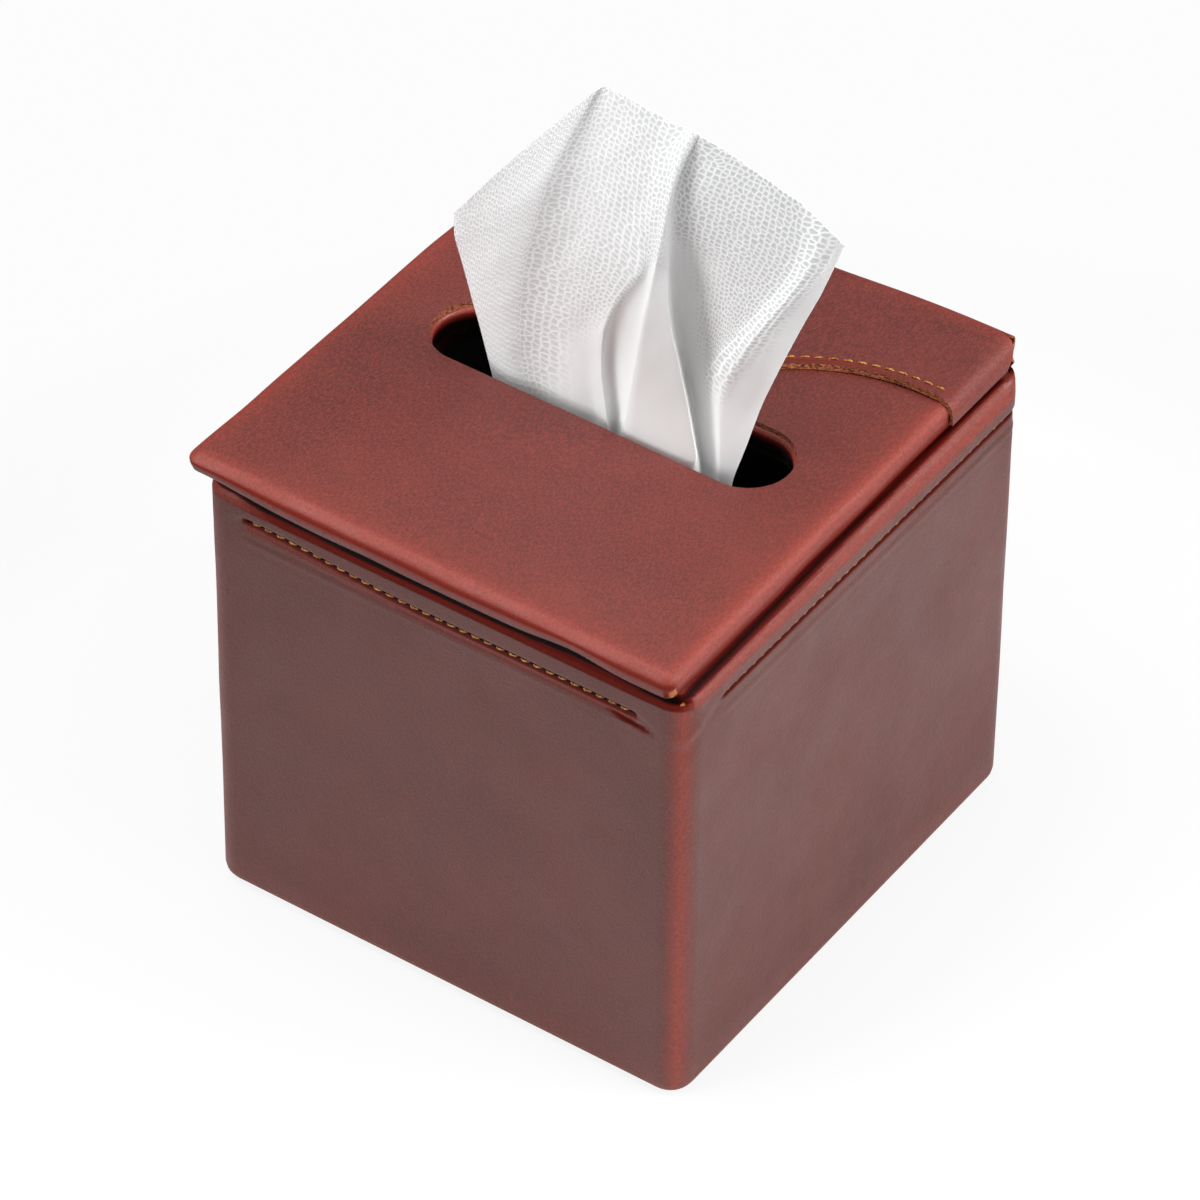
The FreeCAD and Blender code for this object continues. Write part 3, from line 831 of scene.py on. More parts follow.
    def _pulled_and_painted_light(self, points: np.ndarray) -> np.ndarray:
        """Where the leather is bent over an edge and has gone lighter, partly as a painted highlight;
        also a redder line under the front row, part of the painted shade there, and a redder band
        painted down the upright corners where their reflection fades.
        """
        _, distance = self._plan(points)
        z = points[:, 2]
        share, line, _ = self._row(points)
        front = ease(-points[:, 1], 70, 74)
        rim = ease(z - 129 - 1.4 * front, 0.0, 1.0) * 0.4 + ease(z - 130.4, 0.0, 1.0) * 0.6
        under = 0.45 * front * share * hump(z - line, -1.7, 1.2)
        return np.maximum.reduce([rim * 0.85 * ease(distance, 1.0, 4.0), hump(z, 1.6, 2.6) * 0.5,
                                  under, 0.9 * self._corner_line(points)])

    def _shade(self, points: np.ndarray) -> np.ndarray:
        """Where shade is painted on: in the channel, the slit past it and the gap under the lid."""
        x, y, z = points.T
        share, line, _ = self._row(points)
        above = z - line
        front = ease(-y, 69.0, 73.5)
        channel = share * hump(above, 0.1, 0.85)
        # A thin line of painted shade below the front row.
        under = 0.16 * front * share * hump(above, -1.7, 1.1)
        slit = 0.9 * front * hump(z + 0.1 * x, 126.9, 0.6) * ease(x, 48, 53) * (1 - ease(x, 59, 64))
        # Painted shade on the rim's front roll, under the lid.
        roll = (0.34 + 0.16 * ease(z, 131, 133)) * front * ease(z, 130.1, 130.6)
        roll *= (0.3 + 0.7 * ease(x, -64, -46)) * (1 - ease(z, 134.0, 135.4))
        gap_z = 132.1 + 0.3 * ease(-x, 25, 50) + 1.2 * ease(-x, 52, 66) + 0.9 * hump(x, 44, 16)
        gap = front * ease(z - gap_z, -0.1, 0.35) * (1 - ease(z, 133.8, 135.0))
        # Painted shade along the rim under the lid's right edge.
        lid_edge = 70.2 - 1.8 * np.clip((y + 80) / 155, 0, 1)
        side = hump(x - lid_edge, 0, 1.0) * ease(z, 133, 134)
        return np.maximum.reduce([channel, under, slit, roll, gap, side])

    def _corner_line(self, points: np.ndarray) -> np.ndarray:
        """Along the middle of the upright corners, where a redder band is painted as their reflection
        fades: strongest at the front right.
        """
        outward, distance = self._plan(points)
        slant = np.abs(np.abs(outward[:, 0]) - np.abs(outward[:, 1]))
        strength = np.where((points[:, 0] > 0) & (points[:, 1] < 0), 1.0, 0.35)
        return strength * hump(slant, 0, 0.55) * ease(distance, 4.0, 6.5)


# ------------------------------------------------------------------ lid
@dataclass
class SlotOutline:
    """The stadium slot in the lid."""

    x: float = -1.0
    y: float = -1.0
    half_straight: float = 40.5
    radius: float = 12.0
    sides: int = 96

    def distance(self, points: np.ndarray) -> np.ndarray:
        """How far outside the slot's edge each point lies in plan; inside is below 0."""
        along = np.clip(points[:, 0] - self.x, -self.half_straight, self.half_straight)
        return np.hypot(points[:, 0] - self.x - along, points[:, 1] - self.y) - self.radius

    def ring(self, name: str, z: float, growth: float = 0.0) -> bpy.types.Object:
        """A ring of edges along the outline, at a height: a circle with its halves apart."""
        bpy.ops.object.select_all(action="DESELECT")
        bpy.ops.mesh.primitive_circle_add(vertices=self.sides,
                                          radius=(self.radius + growth) * MM,
                                          location=(self.x * MM, self.y * MM, z * MM),
                                          rotation=(0, 0, math.pi / self.sides))
        ring = Bench.named(name)

        def apart(points: np.ndarray) -> np.ndarray:
            """Moves the two halves to the slot's ends."""
            moved = points.copy()
            moved[:, 0] += np.sign(points[:, 0] - self.x) * self.half_straight
            return moved

        Bench.shape(ring, apart)
        return ring

    def knife(self, low: float, high: float, growth: float = 0.0) -> bpy.types.Object:
        """A closed block of the slot's outline between two heights, to cut with."""
        knife = self.ring("slot_knife", low, growth=growth)
        with Bench.editing(knife):
            bpy.ops.mesh.select_all(action="SELECT")
            bpy.ops.mesh.edge_face_add()
            bpy.ops.mesh.extrude_region_move(
                TRANSFORM_OT_translate={"value": (0, 0, (high - low) * MM)})
            bpy.ops.mesh.select_all(action="SELECT")
            bpy.ops.mesh.normals_make_consistent(inside=False)
        return knife

    def cut(self, piece: bpy.types.Object, low: float, high: float, growth: float = 0.0) -> None:
        """Cuts the slot through a piece between two heights."""
        knife = self.knife(low, high, growth)
        Bench.apply(piece, "BOOLEAN", operation="DIFFERENCE", solver="EXACT", object=knife)
        bpy.data.objects.remove(knife)


@dataclass
class LidDraw:
    """How far the lid's sides are drawn in, more towards the back: picked, with no cause known."""

    front: float = -1.2
    back: float = -3.0
    left_back: float = 0.8

    def apply(self, points: np.ndarray) -> np.ndarray:
        """Moves the lid's halves a little, growing from the middle to the edges."""
        moved = points.copy()
        share = np.clip(points[:, 0] / HALF_WIDTH, -1.1, 1.1)
        along = np.clip((points[:, 1] + 80) / 155, 0, 1)
        right = self.front + (self.back - self.front) * along
        moved[:, 0] += np.where(share > 0, share * right, -share * self.left_back * along)
        return moved


@dataclass
class LidCover:
    """The leather over the lid's board, with the slot cut through it."""

    low: tuple[float, float, float] = (-73.2, -79.4, 136.3)
    high: tuple[float, float, float] = (72.0, 73.6, 145.0)
    corner: float = 3.5
    edge: float = 3.0
    foot: float = 3.2
    margin: float = 14.0
    thickness: float = LEATHER
    bare_at: tuple[float, float, float] = (71.2, -77.6, 139.2)
    bare_size: tuple[float, float, float] = (1.4, 1.4, 2.2)
    slot: SlotOutline = field(default_factory=SlotOutline)
    draw: LidDraw = field(default_factory=LidDraw)

    def build(self) -> bpy.types.Object:
        """Shapes the lid's skin from a cube and cuts the slot."""
        lid = Bench.block("lid_cover", self.low, self.high)
        Bench.bevel(lid, upright(0.005), self.corner, 6)
        under, top = self.low[2] * MM + 1e-5, self.high[2] * MM - 1e-5
        Bench.bevel(lid, lambda e: all(v.co.z < under for v in e.verts), self.foot, 3)
        Bench.bevel(lid, lambda e: all(v.co.z > top for v in e.verts), self.edge, 6)
        Bench.drop_faces(lid, lambda f: f.normal.z < -0.99 and len(f.verts) > 8)
        x0, x1 = self.low[0] + self.margin, self.high[0] - self.margin
        y0, y1 = self.low[1] + self.margin, self.high[1] - self.margin
        Bench.fold_edge(lid, lambda e: True, lambda old: Vector(
            (max(x0, min(x1, old.x)), max(y0, min(y1, old.y)), self.low[2])))
        Bench.merge(lid)
        step = 2.4 * 1
        Bench.slice(lid, 0, np.arange(-69.0, 68.0, step))
        Bench.slice(lid, 1, np.arange(-74.5, 69.0, step))
        Bench.mark(lid, "pulled", self._pulled_and_painted_light)
        Bench.slice(lid, 2, [138.6, 139.5, 140.2, 140.8, 141.3, 141.8])
        Bench.mark(lid, "shade", self._shade)
        Bench.mark(lid, "bare", lambda p: hump(np.linalg.norm(
            (p - self.bare_at) / self.bare_size, axis=1), 0, 1.0))
        Bench.shape(lid, self._eased)
        Bench.thicken(lid, self.thickness)
        self.slot.cut(lid, self.high[2] - 2.6, self.high[2] + 3.4)
        Bench.smooth(lid, 40)
        return lid

    def _eased(self, points: np.ndarray) -> np.ndarray:
        """Crowns the top a little, dips it at the slot and lets the edges waver."""
        x, y, z = points.T
        middle = np.array([(a + b) / 2 for a, b in zip(self.low, self.high)])
        half = np.array([(b - a) / 2 for a, b in zip(self.low, self.high)])
        top = ease(z, 141.0, 144.5)
        crown = 0.35 * (1 - ((x - middle[0]) / half[0]) ** 2)
        crown *= 1 - ((y - middle[1]) / half[1]) ** 2
        dip = 0.30 * np.exp(-np.maximum(self.slot.distance(points), 0) / 1.6)
        slow = 0.16 * ripple(x * 0.6, y * 0.6)
        moved = points.copy()
        moved[:, 2] += top * (crown + slow - dip)
        wide = ease(np.abs(x - middle[0]), half[0] - 6, half[0])
        deep = ease(np.abs(y - middle[1]), half[1] - 6, half[1])
        moved[:, 0] += wide * np.sign(x - middle[0]) * 0.25 * ripple(y, z * 2)
        moved[:, 1] += deep * np.sign(y - middle[1]) * 0.25 * ripple(x, z * 2)
        moved[:, 2] += self.lifted(points)
        return self.draw.apply(self._round_back(moved))

    @staticmethod
    def lifted(points: np.ndarray) -> np.ndarray:
        """How far the underside curls up along the front: most at the left corner."""
        x, y, z = points.T
        curl = 0.3 + 0.4 * ease(-x, 20, 45) + 1.6 * ease(-x, 42, 68) + 1.7 * hump(x, 42, 11)
        return curl * ease(-y, 67, 77) * (1 - ease(z, 138.5, 144.0))

    def _round_back(self, points: np.ndarray) -> np.ndarray:
        """Eases the back edge under the hinge leather's soft roll."""
        radius = HingeLeather.roll_radius(points[:, 0]) - 1.0
        moved = points.copy()
        over = np.stack([points[:, 1] - (self.high[1] - radius),
                         points[:, 2] - (self.high[2] - radius)], axis=1)
        length = np.linalg.norm(np.maximum(over, 0), axis=1)
        corner = (over > 0).all(axis=1) & (length > radius)
        scale = np.where(corner, radius / np.maximum(length, 1e-6), 1.0)
        moved[:, 1] = np.where(corner, self.high[1] - radius + over[:, 0] * scale, points[:, 1])
        moved[:, 2] = np.where(corner, self.high[2] - radius + over[:, 1] * scale, points[:, 2])
        return moved

    def _pulled_and_painted_light(self, points: np.ndarray) -> np.ndarray:
        """Lighter leather along the lid's rounded edges: pull-up wear, and partly a painted highlight.
        """
        x, y, z = points.T
        inward = np.minimum.reduce([x - self.low[0], self.high[0] - x, y - self.low[1]])
        side = ease(z, 140.5, 143.2)
        return 0.85 * side * np.exp(-(np.maximum(inward, 0) / 3.2) ** 2) + 0.25 * side * np.exp(
            -(np.maximum(inward, 0) / 9.0) ** 2)

    def _shade(self, points: np.ndarray) -> np.ndarray:
        """Where shade is painted on: under the lid, along its face, on its right side and its back."""
        x, y, z = points.T
        side = 0.75 * ease(x, 69.0, 70.5) * (1 - ease(z, 138.2, 141.8))
        back = ease(x, 60, 66) * ease(y, 66.5, 70) * (1 - ease(z, 142.5, 144))
        face = 0.42 * ease(-y, 76, 78.5) * hump(z, 141.6, 1.0)
        return np.maximum.reduce([ease(-z, -137.0, -136.5), face, side, back])

    def is_raw(self, middle: np.ndarray, normal: Vector) -> bool:
        """Whether a face is part of the slot's raw edge."""
        near = abs(float(self.slot.distance(middle[None])[0])) < 0.3
        return near and middle[2] > 142 and abs(normal.z) < 0.5


@dataclass
class LidCore:
    """The lid's board, drawn in with its cover, with the slot through it."""

    slot: SlotOutline = field(default_factory=SlotOutline)
    draw: LidDraw = field(default_factory=LidDraw)

    def build(self) -> bpy.types.Object:
        """Cuts the board from a block as large as its solid."""
        low, high = ([c / MM for c in corner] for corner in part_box("lid_board"))
        core = Bench.block("lid_core", low, high)
        Bench.bevel(core, lambda e: True, 0.8, 2)
        Bench.slice(core, 0, np.arange(-68.0, 68.0, 8))
        Bench.slice(core, 1, np.arange(-76.0, 72.0, 8))
        self.slot.cut(core, low[2] - 1, high[2] + 1, 1.8)
        Bench.shape(core, lambda p: self.draw.apply(
            p + LidCover.lifted(p)[:, None] * (0, 0, 1)))
        Bench.smooth(core, 40)
        return core


@dataclass
class SlotCollar:
    """The leather that lines the slot's wall, with its folded lip under the cut edge."""

    slot: SlotOutline = field(default_factory=SlotOutline)

    def build(self) -> bpy.types.Object:
        """Shapes the collar from a ring, turn by turn down the slot's wall."""
        collar = self.slot.ring("slot_collar_leather", 143.45)
        profile = ((0.3, 143.5), (-0.25, 143.45), (-0.6, 143.1), (-0.8, 142.4), (-0.8, 141.4),
                   (-0.6, 140.0), (-0.55, 138.2), (-0.5, 136.8), (-0.3, 136.35))

        def grown(old: Vector, growth: float, z: float) -> Vector:
            """The ring's point moved out by a growth, at a new height."""
            along = max(-self.slot.half_straight, min(self.slot.half_straight, old.x - self.slot.x))
            away = Vector((old.x - self.slot.x - along, old.y - self.slot.y))
            away = away.normalized() * (self.slot.radius + growth)
            return Vector((self.slot.x + along + away.x, self.slot.y + away.y, z))

        Bench.shape(collar, lambda p: np.array([grown(Vector(v), 1.1, 143.5) for v in p]))
        for growth, z in profile:
            with Bench.editing(collar):
                newest = len(bmesh.from_edit_mesh(collar.data).verts) - self.slot.sides
                Bench.pick(collar, Element.EDGES, lambda e: all(v.index >= newest for v in e.verts))
                bpy.ops.mesh.extrude_edges_move()
                shape = bmesh.from_edit_mesh(collar.data)
                for vert in shape.verts:
                    if vert.select:
                        vert.co = grown(vert.co / MM, growth, z) * MM
                bmesh.update_edit_mesh(collar.data)
        Bench.face_alike(collar)
        middle = self.slot.y * MM
        face = min(collar.data.polygons, key=lambda f: abs(f.center.x) + abs(f.center.z - 0.139))
        if (face.normal.y > 0) == (face.center.y > middle):
            collar.data.flip_normals()
        # The lip is lighter, pull-up wear and partly a painted highlight; the wall below is painted
        # darker with depth, painted shade down the slot.
        Bench.mark(collar, "pulled", lambda p: 0.8 * hump(p[:, 2], 143.0, 0.9))
        Bench.mark(collar, "shade", lambda p: ease(-p[:, 2], -142.7, -140.3))
        Bench.thicken(collar, 1.0)
        Bench.smooth(collar, 60)
        return collar


@dataclass
class HingeLeather:
    """One strip: over the lid's back, down the gap and on down the back, under the cover."""

    left: float = -74.6
    right: float = 73.4
    top: float = 146.4
    back: float = 75.0
    tucked: float = 73.4
    rim_z: float = RIM_Z
    foot_z: float = 2.0
    thickness: float = LEATHER
    side_roll: float = 4.4
    side_drop: float = 7.1
    seam_side: float = 43.0
    seam_dip: float = 20.0
    seam_half: float = 66.0
    seam_x: float = -1.0
    inset: float = 3.1
    tuck_drop: float = 3.4
    columns: int = 96
    flap: int = 8
    flap_roll: int = 5
    rows_top: int = 16
    rows_roll: int = 7
    rows_down: int = 4
    rows_tuck: int = 8
    rows_in: int = 4
    draw: LidDraw = field(default_factory=LidDraw)

    @staticmethod
    def roll_radius(x: np.ndarray) -> np.ndarray:
        """The strip's roll over the back edge: tight at the ends, soft in the middle."""
        return 2.2 + 6.6 * np.exp(-(np.abs(x) / 36.0) ** 2.2)

    def seam(self, x: np.ndarray) -> np.ndarray:
        """Where the strip's front edge runs: two equal arcs to each side of the middle."""
        span, dip = self.seam_half, self.seam_dip
        radius = (span * span / 4 + dip * dip / 4) / dip
        off = np.abs(np.asarray(x, float) - self.seam_x)
        low = np.sqrt(np.maximum(radius ** 2 - np.minimum(off, span / 2) ** 2, 0))
        high = np.sqrt(np.maximum(radius ** 2 - np.maximum(span - off, 0) ** 2, 0))
        near = self.seam_side - dip + (radius - low)
        far = self.seam_side - (radius - high)
        return np.where(off < span / 2, near, np.where(off < span, far, self.seam_side))

    def build(self) -> bpy.types.Object:
        """Folds the strip from a flat grid."""
        wide = self.columns + 2 * self.flap
        tall = self.rows_top + self.rows_roll + self.rows_down + self.rows_tuck + self.rows_in
        strip = Bench.grid("hinge_strip", wide, tall)
        Bench.drop_faces(strip, lambda f: self._cut_away(f, wide, tall))
        column, row = Bench.grid_places(strip, wide, tall).T
        points = self._folded(column - self.flap, row)
        Bench.shape(strip, lambda _: points)
        Bench.face_alike(strip)
        up = min(strip.data.polygons, key=lambda f: abs(f.center.x) + abs(f.center.y - 0.055))
        if up.normal.z < 0:
            strip.data.flip_normals()
        Bench.mark(strip, "pulled", self._pulled_and_painted_light)
        # Painted shade in the seam's groove, a little behind the strip's edge.
        Bench.mark(strip, "shade", lambda p: 0.7 * hump(
            p[:, 1] - self.seam(p[:, 0]), self.inset, 0.6) * (p[:, 2] > 145.5))
        Bench.thicken(strip, self.thickness, 1)
        Bench.smooth(strip, 50)
        return strip

    def _cut_away(self, face: bmesh.types.BMFace, wide: int, tall: int) -> bool:
        """Whether a face of the flat grid is cut off beside the strip's back part."""
        middle = face.calc_center_median()
        column = (middle.x + 1) / 2 * wide
        row = (middle.y + 1) / 2 * tall
        return (column < self.flap or column > wide - self.flap) and row > self.rows_top

    def _section(self, x: np.ndarray, row: np.ndarray
                 ) -> tuple[np.ndarray, np.ndarray, np.ndarray]:
        """The strip from side to side: along the top, round the roll, down and under the cover.

        Args:
            x: where each point lies across the strip.
            row: its row in the flat grid.

        Returns:
            Each point's y, its z and how far the strip's side edge lies inwards there.
        """
        def part(start: int, count: int) -> np.ndarray:
            """How far each row has come through one stretch of rows, from 0 to 1."""
            return np.clip((row - start) / count, 0, 1)

        down_from = self.rows_top + self.rows_roll
        tuck_from = down_from + self.rows_down
        turn = part(self.rows_top, self.rows_roll) * math.pi / 2
        down, tuck = part(down_from, self.rows_down), part(tuck_from, self.rows_tuck)
        inside = part(tuck_from + self.rows_tuck, self.rows_in)
        radius, seam = self.roll_radius(x), self.seam(x)
        y = seam + (self.back - radius - seam) * part(0, self.rows_top)
        y += radius * np.sin(turn)
        y -= (self.back - self.tucked) * tuck * tuck * (3 - 2 * tuck)
        z = np.full_like(y, self.top)
        z -= radius * (1 - np.cos(turn))
        z -= down * (self.top - radius - (self.rim_z + 1.0))
        z -= tuck * self.tuck_drop
        z -= inside * (self.rim_z + 1.0 - self.tuck_drop - self.foot_z)
        below = part(self.rows_top, self.rows_roll + self.rows_down)
        return y, z, 2.1 + 0.9 * ease(below, 0.7, 1.0) + 4.5 * tuck

    def _folded(self, column: np.ndarray, row: np.ndarray) -> np.ndarray:
        """Where the folded strip has each point of the flat grid."""
        low, high = self.left + self.side_roll, self.right - self.side_roll
        across = np.clip(column / self.columns, 0, 1)
        x = low + (high - low) * across
        y, z, edge_in = self._section(x, row)
        x = np.where(row > self.rows_top,
                     across * (self.right - self.left - 2 * edge_in) + self.left + edge_in, x)
        beyond = np.maximum(np.maximum(-column, column - self.columns), 0)
        arc = self.side_roll * math.pi / 2
        hanging = (beyond - self.flap_roll) / (self.flap - self.flap_roll)
        length = np.where(beyond <= self.flap_roll, beyond / self.flap_roll * arc,
                          arc + hanging * (self.side_drop - self.side_roll))
        bend = np.minimum(length / self.side_roll, math.pi / 2)
        share = np.clip(row / self.rows_top, 0, 1)
        y -= 0.7 * np.maximum(beyond - 2, 0) * share ** 3 * (row <= self.rows_top)
        x += np.where(column < 0, -1.0, 1.0) * self.side_roll * np.sin(bend)
        z -= self.side_roll * (1 - np.cos(bend)) + np.maximum(length - arc, 0)
        return self._settled(np.stack([x, y, z], axis=1), (beyond == 0) & (row <= self.rows_top))

    def _settled(self, points: np.ndarray, on_top: np.ndarray) -> np.ndarray:
        """Lets the top waver, presses the seam's channel, lifts the cut edge, draws in the sides."""
        points[:, 2] += np.where(on_top, 0.14 * ripple(points[:, 0] * 0.6, points[:, 1] * 0.6), 0)
        behind = points[:, 1] - self.seam(points[:, 0])
        stitched = on_top & (np.abs(points[:, 0] - self.seam_x) < self.seam_half)
        points[:, 2] -= np.where(stitched, 0.35 * hump(behind, self.inset, 1.0), 0)
        points[:, 2] += np.where(on_top, 0.55 * np.exp(-behind / 1.6), 0)
        lidward = ease(points[:, 2], self.rim_z - 2, self.rim_z + 3)[:, None]
        return points + lidward * (self.draw.apply(points) - points)

    def _pulled_and_painted_light(self, points: np.ndarray) -> np.ndarray:
        """Lighter leather over the back roll and the side folds: pull-up wear, and partly a painted
        highlight.
        """
        x, y, z = points.T
        roll = hump(y, self.back - 0.5, 4.0) * ease(z, 138, 144)
        side = np.minimum(x - self.left, self.right - x)
        return 0.7 * roll + 0.75 * hump(side, 0.8, 3.0) * ease(z, 139, 145)


@dataclass
class ThreadRows:
    """The rows of saddle stitches around the box and along the lid's seam."""

    pitch: float = STITCH_PITCH
    length: float = 2.85
    thickness: float = 0.30
    hinge: HingeLeather = field(default_factory=HingeLeather)

    def stitch(self) -> bpy.types.Object:
        """One stitch along X: a two-ply twist whose ends dive into their holes."""
        bpy.ops.object.select_all(action="DESELECT")
        bpy.ops.mesh.primitive_cylinder_add(vertices=8, radius=1, depth=1,
                                            rotation=(0, math.pi / 2, 0), end_fill_type="NGON")
        stitch = Bench.named("stitch")
        Bench.slice(stitch, 0, [(k / 8 - 0.5) / MM for k in range(1, 8)])

        def twisted(points: np.ndarray) -> np.ndarray:
            """Lobes the section, turns it along the stitch and dips the ends."""
            t = points[:, 0] * MM * 2
            angle = np.arctan2(points[:, 2], points[:, 1])
            lobed = 0.62 + 0.38 * np.abs(np.cos(angle - t * 2.2))
            taper = 1 - 0.45 * np.abs(t) ** 5
            size = self.thickness * lobed * taper
            return np.stack([t * self.length / 2, np.cos(angle) * size,
                             np.sin(angle) * size - 0.55 * np.abs(t) ** 3.2], axis=1)

        Bench.shape(stitch, twisted)
        Bench.smooth(stitch, 80)
        return stitch

    def row(self, name: str, places: Sequence[tuple[Vector, Vector, Vector]]
            ) -> bpy.types.Object:
        """Copies the stitch along a row.

        Args:
            name: the row's name.
            places: each stitch's middle, its direction and the way out of the leather.

        Returns:
            The row as one object.
        """
        model = self.stitch()
        copies = []
        for number, (middle, along, out) in enumerate(places):
            lean = 0.11 + 0.03 * math.sin(number * 2.3)
            along = (along + out.cross(along) * lean).normalized()
            across = out.cross(along).normalized()
            turn = Matrix((along, across, out)).transposed().to_4x4()
            copy = model.copy()
            copy.data = model.data.copy()
            bpy.context.collection.objects.link(copy)
            copy.matrix_world = Matrix.Translation(middle * MM) @ turn
            copies.append(copy)
        bpy.data.objects.remove(model)
        return Bench.join(name, copies)

    def straight(self, wall: Wall) -> list[tuple[Vector, Vector, Vector]]:
        """The places of one wall's row."""
        level = 0.92 if wall is Wall.RIGHT else 0.66
        wide, deep = HALF_WIDTH - level, HALF_DEPTH - level
        start, end, out = {
            Wall.FRONT: ((-57.3, -deep), (56.0, -deep), Vector((0, -1, 0))),
            Wall.RIGHT: ((wide, -57.0), (wide, 68.0), Vector((1, 0, 0))),
            Wall.BACK: ((65.0, deep), (-65.0, deep), Vector((0, 1, 0))),
            Wall.LEFT: ((-wide, 68.0), (-wide, -57.0), Vector((-1, 0, 0))),
        }[wall]
        a, b = np.array(start), np.array(end)
        count = round(float(np.linalg.norm(b - a)) / self.pitch)
        places = []
        for k in range(count):
            ends = [a + (b - a) * (k + share) / count for share in (0.2, 0.8)]
            low, high = (Vector((*end, float(row_height(*end)))) for end in ends)
            places.append((low.lerp(high, 0.5), (high - low).normalized(), out))
        return places

    def along_seam(self) -> list[tuple[Vector, Vector, Vector]]:
        """The places of the lid's row, a little behind the hinge leather's edge."""
        x = np.linspace(-70.5, 69.0, 900)
        y = self.hinge.seam(x)
        slope = np.gradient(y, x)
        norm = np.hypot(1, slope)
        x, y = x - slope / norm * self.hinge.inset, y + self.hinge.inset / norm
        travelled = np.concatenate([[0], np.cumsum(np.hypot(np.diff(x), np.diff(y)))])
        count = round(travelled[-1] / self.pitch)
        places = []
        for k in range(count):
            at = (k + 0.5) / count * travelled[-1]
            here = [Vector((np.interp(at + d, travelled, x), np.interp(at + d, travelled, y),
                            self.hinge.top + 0.20)) for d in (-1.0, 1.0)]
            middle = here[0].lerp(here[1], 0.5)
            drawn = self.hinge.draw.apply(np.array([middle]))[0]
            places.append((Vector(drawn), (here[1] - here[0]).normalized(), Vector((0, 0, 1))))
        return places


